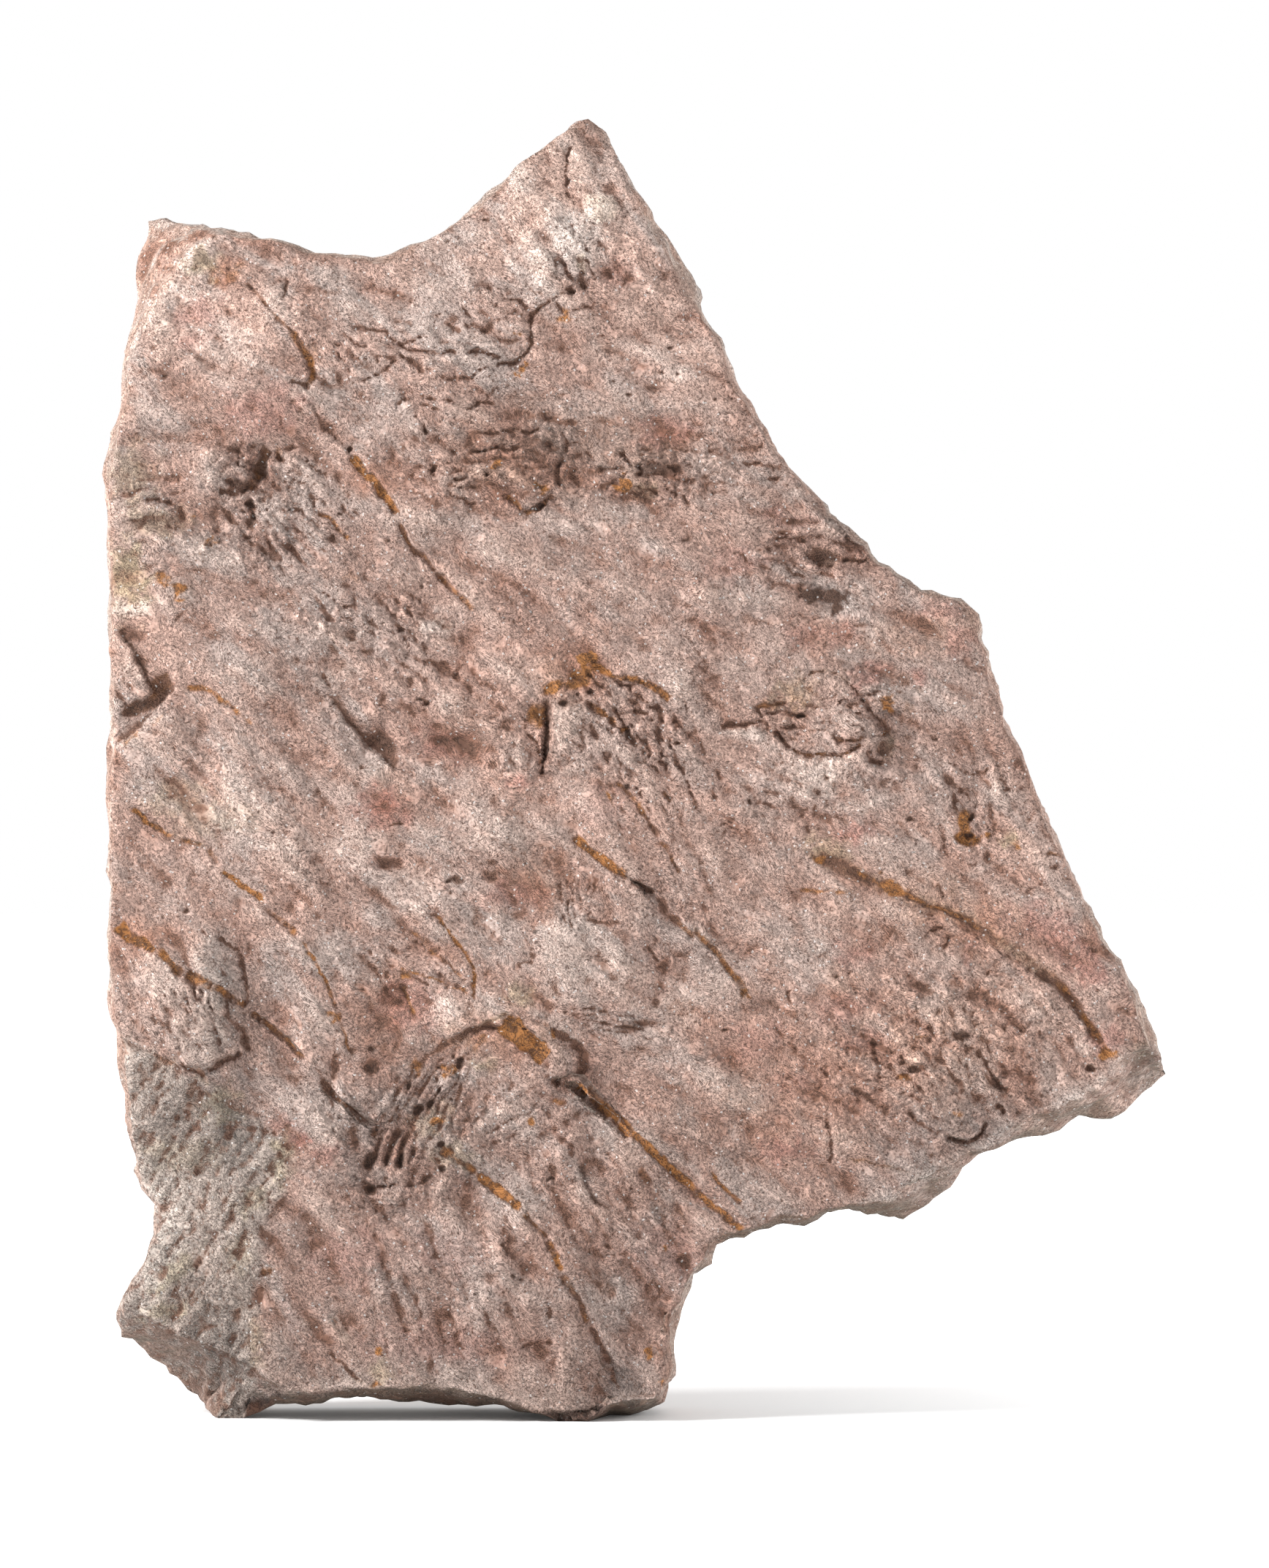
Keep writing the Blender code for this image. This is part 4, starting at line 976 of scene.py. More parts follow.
ledges = {
    "aBelow": (1.2, "right", 4, (404, 540, 425, 555, 437, 580, 455, 598, 479, 619), {"dark": 0.4}),
    "scarpTop": (0.6, "right", 3, (250, 360, 275, 379, 300, 398), {"dark": 0.3}),
    "flapEdge": (2.6, "right", 5, (160, 861, 172, 878, 183, 895, 193, 914, 202, 935, 209, 953),
        {"dark": 0.45, "rust": 0.25, "fade": (1.5, 1.5)}),
    "flapRim": (2.2, "right", 5, (155, 1018, 178, 1009, 200, 986, 216, 966, 240, 942, 246, 928), {"dark": 0.35}),
    "dLower": (2.1, "right", 5, (446, 952, 470, 982, 495, 1010, 518, 1034, 545, 1058), {"dark": 0.4}),
    "cParallel": (0.8, "right", 3, (348, 748, 375, 768, 393, 788, 405, 800), {"dark": 0.45}),
    "ringLens": (0.9, "right", 4, (982, 1000, 1005, 999, 1030, 994, 1054, 1002), {"dark": 0.2}),
    "bowlRim": (1, "right", 4, (1060, 1003, 1075, 1022, 1098, 1037, 1125, 1040, 1152, 1039, 1182, 1022),
        {"dark": 0.1}),
    "spikeEdge": (1, "left", 4, (757, 958, 754, 985, 752, 1010, 749, 1040), {"dark": 0.2}),
    "edgeCrownLip": (1.2, "right", 3, (1303, 1148, 1316, 1153, 1327, 1158, 1334, 1168), {"dark": 0.3}),
    "hLower": (0.9, "right", 4, (1240, 1245, 1300, 1262, 1345, 1288, 1400, 1325, 1445, 1355, 1474, 1390, 1498, 1430),
        {"dark": 0.1}),
    "lowScarp": (1.4, "right", 5, (786, 1588, 795, 1604, 800, 1620, 808, 1635, 818, 1648, 834, 1656), {"dark": 0.55}),
    "crumblyEdge": [(1, "right", 3, (1360, 1401, 1375, 1411, 1388, 1404, 1400, 1413, 1413, 1402, 1446, 1399),
            {"dark": 0.5}), (0.9, "left", 3, (1213, 1445, 1240, 1452, 1262, 1455, 1275, 1470), {"dark": 0.5}),
        (0.9, "left", 3, (1292, 1392, 1303, 1410, 1325, 1430, 1338, 1438), {"dark": 0.45}),
        (0.7, "right", 3, (1262, 1395, 1272, 1410, 1286, 1425), {"dark": 0.4})],
    "blockLeft": (1.5, "right", 4, (224, 1392, 232, 1410, 243, 1425, 248, 1448), {"dark": 0.55}),
    "redPatchEdge": (0.6, "right", 3, (1166, 856, 1190, 857, 1203, 862, 1210, 872), {"dark": 0.25}),
    "crumb": [(1.1, "right", 3.5, (1080, 745, 1095, 752, 1110, 768, 1128, 780), {"dark": 0.5}),
        (0.8, "right", 3, (1083, 800, 1092, 806, 1090, 822), {"dark": 0.4})],
    "belowArms": (1.6, "left", 4, (495, 1608, 505, 1618, 520, 1622, 545, 1618), {"dark": 0.6}),
    "greyEdge": (1.1, "left", 8, (160, 1414, 190, 1430, 240, 1455, 290, 1495, 330, 1535, 378, 1550, 396, 1575),
        {"crack": 0, "fade": (6, 6)}),
    "footFacet": (1.6, "left", 7, (185, 1797, 210, 1808, 240, 1824, 280, 1839, 300, 1849, 330, 1860, 350, 1874,
        368, 1888, 400, 1905), {"crack": 0, "fade": (4, 4)}),
}

# Plates and lumps that stand proud: rise, how much more in the middle, width of the edge, and around the rim

blocks = {
    "lobe": (0.9, 1.6, 0.6, (722, 1396, 745, 1404, 762, 1418, 781, 1434, 790, 1448, 787, 1463, 776, 1474, 758, 1478,
        750, 1468, 752, 1445, 740, 1424), {"ragged": 0.4}),
    "armBlock": (0.8, 0.5, 0.8, (236, 1330, 262, 1350, 300, 1368, 328, 1384, 322, 1405, 330, 1432, 322, 1441,
        300, 1452, 284, 1462, 262, 1456, 250, 1440, 243, 1415, 235, 1385, 228, 1360)),
    "lens": (0.3, 0, 1, (984, 1000, 1005, 995, 1030, 993, 1050, 1003, 1042, 1014, 1028, 1019, 1010, 1010),
        {"pale": 0.8, "grey": 0.3}),
    "triangle": (0.5, 0.4, 1, (757, 958, 775, 966, 800, 958, 830, 990, 850, 1020, 845, 1075, 800, 1060, 770, 1062,
        752, 1050), {"pale": 0.15}),
    "paleRound": (0.2, 0.5, 3, (735, 1262, 790, 1250, 850, 1280, 862, 1330, 850, 1370, 790, 1376, 745, 1370,
        728, 1320), {"pale": 0.4}),
    "knob": (0.8, 1, 1, (800, 268, 818, 262, 840, 268, 848, 284, 842, 302, 822, 308, 803, 300, 798, 284),
        {"olive": 0.3}),
    "leftKnob": (0.8, 0.6, 0.7, (856, 634, 866, 630, 874, 640, 870, 650, 858, 650), {"pale": 0.4}),
    "roundLump": (0.8, 0.9, 0.8, (522, 1624, 540, 1622, 550, 1632, 546, 1646, 530, 1650, 520, 1640), {"pale": 0.3}),
    "smallFlake": (0.8, 0, 0.6, (1238, 1446, 1256, 1444, 1266, 1452, 1254, 1458, 1240, 1456), {"pale": 0.5}),
    "curledFlake": (0.9, 0, 0.6, (454, 1800, 464, 1808, 474, 1822, 480, 1834, 470, 1838, 458, 1822, 450, 1808),
        {"pale": 0.35, "olive": 0.3}),
    "middleLump": (0.4, 0.7, 1.5, (646, 600, 700, 594, 745, 600, 760, 625, 752, 655, 725, 672, 690, 668, 655, 650,
        640, 622)),
    "rightLump": (0.6, 0.5, 0.7, (1472, 1424, 1484, 1420, 1494, 1430, 1492, 1444, 1478, 1447, 1470, 1438),
        {"pale": 0.35}),
    "reddishFlake": (0.4, 0, 0.7, (1168, 860, 1198, 858, 1206, 870, 1200, 890, 1175, 895, 1166, 880), {"pale": 0.3}),
    "brokenCorner": (0.6, 0, 0.7, (432, 1706, 445, 1704, 450, 1715, 444, 1732, 434, 1730, 428, 1718), {"pale": 0.25}),
}

# Hollows and holes: middle, half size, turn, depth, strength of the painted shade inside

hollows = {
    "flapPocket": ((218, 940), (30, 18), 55, 1.6, 0.35, {"rust": 0.4}),
    "flapPocketLow": ((188, 968), (30, 13), 20, 1.6, 0.55, {"rust": 0.3}),
    "flapPocketTop": ((190, 870), (16, 12), 0, 0.8, 0.3),
    "dPocket": ((525, 1018), (30, 16), -50, 1.3, 0.45),
    "cPocket": [((356, 640), (13, 22), 0, 1.6, 0.45, {"rust": 0.2}), ((325, 662), (26, 9), -8, 1.2, 0.45),
        ((380, 620), (7, 12), 0, 0.9, 0, {"rust": 0.7}), ((340, 688), (9, 9), 0, 1.1, 0.7),
        ((345, 712), (8, 16), 0, 0.9, 0.5)],
    "bMouth": ((479, 616), (5, 4), 0, 1.6, 0.8),
    "middlePocket": ((735, 693), (13, 6), 10, 1.4, 0.8),
    "middleHollow": ((750, 567), (15, 10), 0, 0.8, 0.35),
    "rightRing": ((884, 672), (20, 20), 0, 0.9, 0.3, {"olive": 0.4}),
    "rightBand": ((905, 641), (42, 12), 0, 0.9, 0.5),
    "dripHollow": ((793, 382), (10, 14), 0, 1, 0.4, {"rust": 0.3}),
    "dripBowl": ((846, 374), (28, 26), 0, 0.9, 0, {"blush": 0.4}),
    "vHollow": ((540, 1362), (28, 20), 20, 1.3, 0.3, {"blush": 0.5}),
    "brownHollow": [((620, 1018), (42, 14), -12, 1.2, 0.4), ((527, 1180), (32, 12), 0, 0.9, 0.35, {"blush": 0.3}),
        ((1237, 1472), (12, 8), 0, 0.9, 0.3, {"rust": 0.5}), ((1315, 1415), (20, 10), 0, 1.2, 0.55),
        ((1270, 1425), (10, 6), 0, 0.8, 0.4)],
    "pitsUnderV": ((625, 1204), (14, 8), 0, 1, 0.5),
    "arcHollow": ((905, 1340), (8, 52), -12, 0.7, 0.2),
    "arcHollowLow": ((868, 1404), (34, 12), 8, 1.1, 0.4),
    "ringRightHollow": ((1213, 1020), (13, 24), -8, 1.2, 0.35, {"olive": 0.5}),
    "ringPit": ((1096, 980), (8, 4), 12, 2, 1, {"ragged": 0.4}),
    "edgeOrange": ((1319, 1126), (12, 26), 0, 1.3, 0, {"rust": 0.9}),
    "edgeOrangeLow": ((1324, 1148), (24, 11), -12, 1.5, 0.2, {"rust": 1}),
    "edgePit": [((1329, 1119), (4, 10), -14, 1.8, 0.8), ((1325, 1143), (8, 4), 0, 1.8, 0.8)],
    "greyHollow": ((1250, 1463), (14, 6), 0, 1.2, 0.5),
    "darkGrain": ((1128, 762), (26, 16), -30, 0.9, 0.5, {"olive": 0.3}),
    "brownBand": [((1178, 748), (30, 12), -14, 0.7, 0.35, {"blush": 0.4}),
        ((1100, 713), (34, 9), 6, 0.8, 0.4, {"blush": 0.5}), ((1162, 735), (9, 8), 0, 0.8, 0.5)],
    "netRight": ((792, 928), (30, 17), 30, 1, 0.3, {"rust": 0.8}),
    "netLeft": ((735, 978), (19, 22), 0, 0.9, 0.3, {"rust": 0.8}),
    "netTop": ((755, 942), (20, 9), 35, 0.8, 0, {"rust": 0.9}),
    "crownPit": [((770, 962), (8, 6), 0, 1.5, 0.9), ((790, 952), (4, 3), 0, 1.5, 1),
        ((808, 948), (6, 5), 0, 1.5, 0.95), ((859, 1005), (5, 8), 0, 1.5, 0.9), ((859, 1075), (4, 6), 30, 1.3, 0.95)],
    "armPocket": [((628, 1456), (11, 6), 55, 1.6, 1), ((570, 1519), (11, 6), 60, 2, 1),
        ((588, 1511), (8, 5), 55, 1.5, 0.9), ((599, 1494), (9, 4), 50, 1.2, 0.8), ((603, 1566), (7, 6), 0, 1.5, 0.95),
        ((549, 1588), (7, 14), -15, 2, 1), ((507, 1588), (9, 14), -18, 1.8, 0.9), ((505, 1628), (10, 8), 0, 2, 0.7),
        ((558, 1485), (4, 9), -15, 1.1, 0.9), ((606, 1598), (7, 7), 0, 1.2, 0.8),
        ((585, 1613), (12, 7), 20, 1.2, 0.6)],
    "slopeHollow": ((508, 1460), (13, 16), 0, 1.3, 0.45),
    "slopePit": ((507, 1435), (4, 7), -20, 1.4, 0.9),
    "orangeHollow": ((765, 1508), (14, 9), 0, 0.7, 0, {"rust": 0.5, "blush": 0.4}),
    "footHollow": ((935, 1725), (18, 14), 0, 0.9, 0.4),
    "leftPitBig": ((460, 738), (12, 8), -40, 1, 0.45),
}

# Small round pits: half size, then their columns and rows
pits = {
    "tiny": (3, (325, 632, 663, 298, 742, 272, 620, 515, 634, 516, 655, 550, 568, 568, 620, 622, 872, 448, 600, 1463,
        744, 1438, 849, 1335, 990, 1410, 1310, 520, 1180, 700, 870, 505, 948, 505)),
    "small": (4, (313, 368, 343, 393, 197, 512, 225, 513, 780, 398, 800, 395, 685, 455, 665, 648, 623, 655, 742, 925,
        1143, 1338, 991, 1125, 1100, 738, 613, 1207, 615, 1222, 374, 1140, 620, 1445, 612, 1478, 718, 1406,
        741, 1630, 704, 1745, 712, 1750, 1307, 1115, 935, 605, 1025, 1098, 232, 720, 180, 710, 560, 930, 385, 1585,
        905, 508, 928, 512, 1002, 545, 978, 548, 840, 520)),
    "middling": (5, (681, 490, 590, 643, 582, 590, 530, 739, 578, 802, 572, 955, 586, 962, 765, 795, 980, 1202,
        1243, 1122, 975, 675, 1040, 610, 830, 1860, 455, 733, 862, 541)),
    "wide": (6, (463, 703, 550, 862, 915, 475, 253, 1248, 752, 1612, 1528, 1483, 1280, 1010)),
    "widest": (8, (938, 738)),
}

# Facets where the slab's rim broke off at a slant: slope, painted light and shade with some of the stone's own
# lightness, warmth, and around a ring past the outline. Painted lighter on the top left and lower right, darker on
# the bottom left and the right corner, darkest on the arch beneath the slab

facets = {
    "topLeft": (0.8, 0.18, 0.1, (150, 560, 165, 505, 184, 465, 219, 413, 251, 363, 288, 329, 310, 316, 290, 290,
        140, 290)),
    "bottomLeft": (0.35, -0.12, -0.1, (140, 1790, 185, 1797, 210, 1808, 240, 1824, 280, 1839, 330, 1860, 368, 1888,
        400, 1905, 400, 2000, 100, 2000, 100, 1790)),
    "arch": (1.2, -0.55, 0.3, (330, 1922, 380, 1908, 440, 1903, 500, 1899, 560, 1899, 620, 1902, 690, 1917,
        740, 1930, 800, 1930, 860, 1920, 900, 1915, 900, 2000, 330, 2000)),
    "lowerRight": (0, 0.25, -0.45, (1170, 1650, 1240, 1618, 1300, 1583, 1350, 1556, 1400, 1527, 1480, 1490,
        1530, 1452, 1660, 1400, 1660, 1700, 1170, 1700)),
    "rightCorner": (0.2, -0.25, -0.2, (1532, 1452, 1560, 1436, 1580, 1430, 1660, 1420, 1660, 1480, 1540, 1482)),
}


def breakFacet(corners, slope, tone, warm):
    window, depth = enclosed(corners, 0.6)
    height[window] -= slope * np.maximum(depth, 0)
    inside = ramp(-0.6, 0.9, depth)
    # painted light and shade on the facet
    stainsAndShade["tone"][window] += tone * inside
    stainsAndShade["warm"][window] += warm * inside
    # a pale line along the facet's rim: painted highlight on the broken edge
    stainsAndShade["pale"][window] = np.maximum(stainsAndShade["pale"][window], 0.25 * np.exp(-(depth / 0.7) ** 2))


workSteps = (
    (breakFacet, facets, "slope tone warm corners"),
    (cutStem, stems, "wide deep rust dark path"),
    (cutCrack, cracks, "wide deep dark path"),
    (cutFan, fans, "count wide deep dark first last"),
    (cutLedge, ledges, "drop high reach path"),
    (raiseBlock, blocks, "rise dome edge corners"),
    (dent, hollows, "at size turn deep dark"),
)
for work, table, keys in workSteps:
    for style in rows(table, keys):
        work(**style)
for size, spots in pits.values():
    for at in zip(spots[::2], spots[1::2]):
        dent(at, (size, size * marks["pitFlat"]), **marks["pit"])
print("moulds:", len(stems), "stems,", len(cracks), "cracks,", len(ledges), "ledges,", len(hollows), "hollows")


# Patches of colour by kind and place: column, row, half size along and across, strength, turn if any

tints = {
    "rust": {
        "topLeft": ((322, 374, 24, 24, 0.35), (430, 482, 12, 20, 0.35, -10)),
        "top": ((706, 453, 7, 5, 0.9), (777, 435, 14, 10, 0.7), (712, 503, 9, 5, 0.9)),
        "leftEdge": ((246, 806, 15, 13, 1), (222, 794, 16, 7, 0.7, -20), (265, 700, 6, 5, 0.7),
            (290, 738, 12, 7, 0.6, 30), (270, 760, 8, 6, 0.7), (298, 745, 8, 5, 0.6), (215, 985, 34, 6, 0.35, 42)),
        "leftCrown": ((480, 790, 22, 10, 0.3, -20),),
        "upperMiddle": ((852, 664, 13, 12, 1.2, 40), (682, 639, 14, 8, 0.8, 25), (742, 664, 18, 6, 0.9),
            (740, 678, 7, 4, 0.9)),
        "middle": ((803, 903, 13, 10, 1.2), (760, 1180, 30, 20, 0.12)),
        "right": ((1212, 962, 14, 12, 0.7, -30), (1240, 972, 14, 12, 0.35), (1090, 955, 22, 22, 0.3),
            (1124, 1179, 12, 6, 0.8), (1050, 965, 22, 8, 0.35, 10)),
        "left": ((175, 1012, 20, 6, 0.5, 20),),
        "lowerLeft": ((566, 1463, 10, 14, 0.6, 30), (427, 1307, 5, 6, 0.9), (458, 1388, 10, 6, 0.6),
            (556, 1336, 14, 8, 0.7, -20), (275, 1470, 16, 8, 0.3, -30), (225, 1450, 20, 8, 0.3, -30),
            (390, 1385, 24, 12, 0.15)),
        "rightBank": ((1345, 1146, 9, 4, 0.9), (1390, 1156, 12, 5, 0.7, -10), (1225, 1216, 30, 9, 0.8, -25),
            (1516, 1446, 10, 14, 0.8)),
        "lowerMiddle": ((614, 1464, 12, 8, 0.7), (598, 1534, 16, 9, 0.8, 10), (652, 1430, 16, 9, 0.5, 20),
            (731, 1533, 6, 10, 1), (678, 1337, 5, 4, 0.7), (755, 1416, 9, 5, 0.9, -40)),
        "lowerRight": ((1020, 1354, 6, 7, 0.9), (1256, 1420, 9, 6, 0.6), (1312, 1524, 12, 7, 0.6, -30),
            (1186, 1589, 14, 5, 0.5)),
        "grey": ((370, 1742, 16, 9, 0.35),),
        "foot": ((910, 1708, 8, 5, 0.8), (891, 1850, 8, 9, 0.8), (905, 1890, 3, 7, 1.1), (516, 1854, 5, 6, 0.9),
            (518, 1894, 10, 7, 0.8)),
    },
    "blush": {
        "topLeft": ((360, 560, 60, 45, 0.6, 10), (268, 430, 34, 20, 0.6), (265, 465, 26, 12, 0.5)),
        "upperRight": ((1100, 870, 34, 18, 0.45), (1010, 770, 46, 26, 0.4), (1060, 705, 16, 12, 0.6)),
        "upperMiddle": ((910, 590, 42, 26, 0.6),),
        "middle": ((600, 1020, 50, 22, 0.6, -10), (700, 1225, 46, 22, 0.6), (820, 1110, 40, 40, 0.3),
            (710, 1070, 18, 12, 0.7)),
        "right": ((1155, 864, 26, 24, 0.5), (1312, 876, 26, 26, 0.55), (1186, 925, 34, 14, 0.8, 25),
            (1258, 924, 16, 13, 0.8), (1172, 1138, 34, 16, 0.8, 15), (1290, 835, 40, 16, 0.6)),
        "left": ((525, 1105, 42, 34, 0.8),),
        "lowerLeft": ((414, 1562, 17, 8, 1.3, -8), (560, 1380, 50, 40, 0.6), (450, 1580, 26, 14, 0.7),
            (390, 1540, 28, 18, 0.7, -20)),
        "rightBank": ((1440, 1270, 66, 28, 0.7, -30), (1490, 1325, 50, 20, 0.8, -30), (1515, 1420, 30, 24, 0.7, 40),
            (1322, 1308, 14, 14, 0.6)),
        "lowerRight": ((1150, 1380, 50, 24, 0.5), (1180, 1425, 34, 18, 0.4), (1035, 1425, 46, 26, 0.4, 20),
            (1080, 1482, 46, 22, 0.4), (1075, 1575, 36, 18, 0.8), (1165, 1305, 28, 18, 0.6)),
        "grey": ((480, 1720, 60, 40, 0.5), (400, 1807, 14, 10, 0.9, -30), (392, 1780, 9, 7, 0.9)),
        "foot": ((600, 1840, 110, 30, 0.4), (620, 1710, 60, 40, 0.4), (920, 1720, 60, 50, 0.4)),
    },
    "olive": {
        "topLeft": ((278, 360, 26, 20, 0.9),),
        "leftEdge": ((172, 790, 34, 56, 0.9, 8), (215, 715, 46, 22, 0.5), (180, 650, 34, 46, 0.5)),
        "upperMiddle": ((880, 672, 24, 18, 0.5),),
        "right": ((1130, 1166, 38, 20, 0.7, -10), (1085, 950, 30, 26, 0.5)),
        "left": ((240, 1090, 50, 26, 0.4), (285, 1120, 60, 30, 0.3)),
        "lowerLeft": ((300, 1510, 34, 24, 0.7, -35), (385, 1585, 16, 40, 0.7, -8)),
        "rightBank": ((1560, 1445, 26, 18, 0.4), (1380, 1146, 22, 7, 0.8, -8)),
        "lowerMiddle": ((620, 1580, 36, 18, 0.5), (712, 1362, 20, 18, 0.7), (665, 1460, 18, 12, 0.7),
            (592, 1534, 34, 18, 0.5, 20)),
        "grey": ((345, 1640, 28, 16, 0.6, 40), (235, 1745, 50, 16, 0.7, 50), (325, 1720, 18, 30, 0.5),
            (225, 1795, 40, 14, 0.7, 15), (250, 1580, 60, 26, 0.4), (350, 1835, 14, 34, 0.6)),
        "foot": ((520, 1880, 14, 26, 0.7),),
    },
    # Darkened patches: blackish grey stone, and painted shade on a shaded slope at the top left
    "dark": {
        "topLeft": ((272, 356, 22, 18, 0.45),),
        "upperRight": ((1110, 812, 26, 14, 0.75), (1142, 820, 24, 16, 0.9, 10), (1165, 806, 16, 7, 0.6),
            (985, 695, 26, 14, 0.25)),
        "left": ((320, 1230, 34, 14, 0.3),),
        "lowerRight": ((1050, 1375, 26, 14, 0.35),),
    },
    "pale": {
        "top": ((920, 512, 32, 14, 0.5), (790, 340, 40, 30, 0.3), (860, 480, 90, 20, 0.3)),
        "upperRight": ((1140, 842, 32, 7, 0.5, -4), (1086, 675, 14, 9, 0.7)),
        "leftEdge": ((175, 834, 34, 12, 0.8),),
        "leftCrown": ((595, 853, 26, 20, 0.95, 10), (478, 874, 16, 14, 0.6), (470, 925, 30, 20, 0.4, 20)),
        "middle": ((700, 1140, 120, 50, 0.25),),
        "right": ((1125, 1062, 36, 26, 0.7, 10), (1180, 1100, 40, 8, 0.6, 8)),
        "left": ((560, 1210, 60, 40, 0.35), (470, 1160, 50, 26, 0.35)),
        "rightBank": ((1380, 1360, 60, 22, 0.35, -30), (1480, 1500, 50, 16, 0.35, 22)),
        "lowerMiddle": ((640, 1380, 50, 22, 0.5), (930, 1380, 40, 40, 0.45)),
        "lowerRight": ((1226, 1385, 14, 10, 0.7), (1115, 1292, 10, 8, 0.7), (1030, 1490, 70, 16, 0.3)),
        "grey": ((400, 1807, 12, 9, 1, -30), (420, 1812, 12, 5, 0.7, 10), (392, 1780, 8, 6, 0.8),
            (300, 1720, 40, 30, 0.3, 45)),
        "foot": ((630, 1680, 60, 40, 0.3, -40), (830, 1775, 50, 30, 0.3)),
    },
}
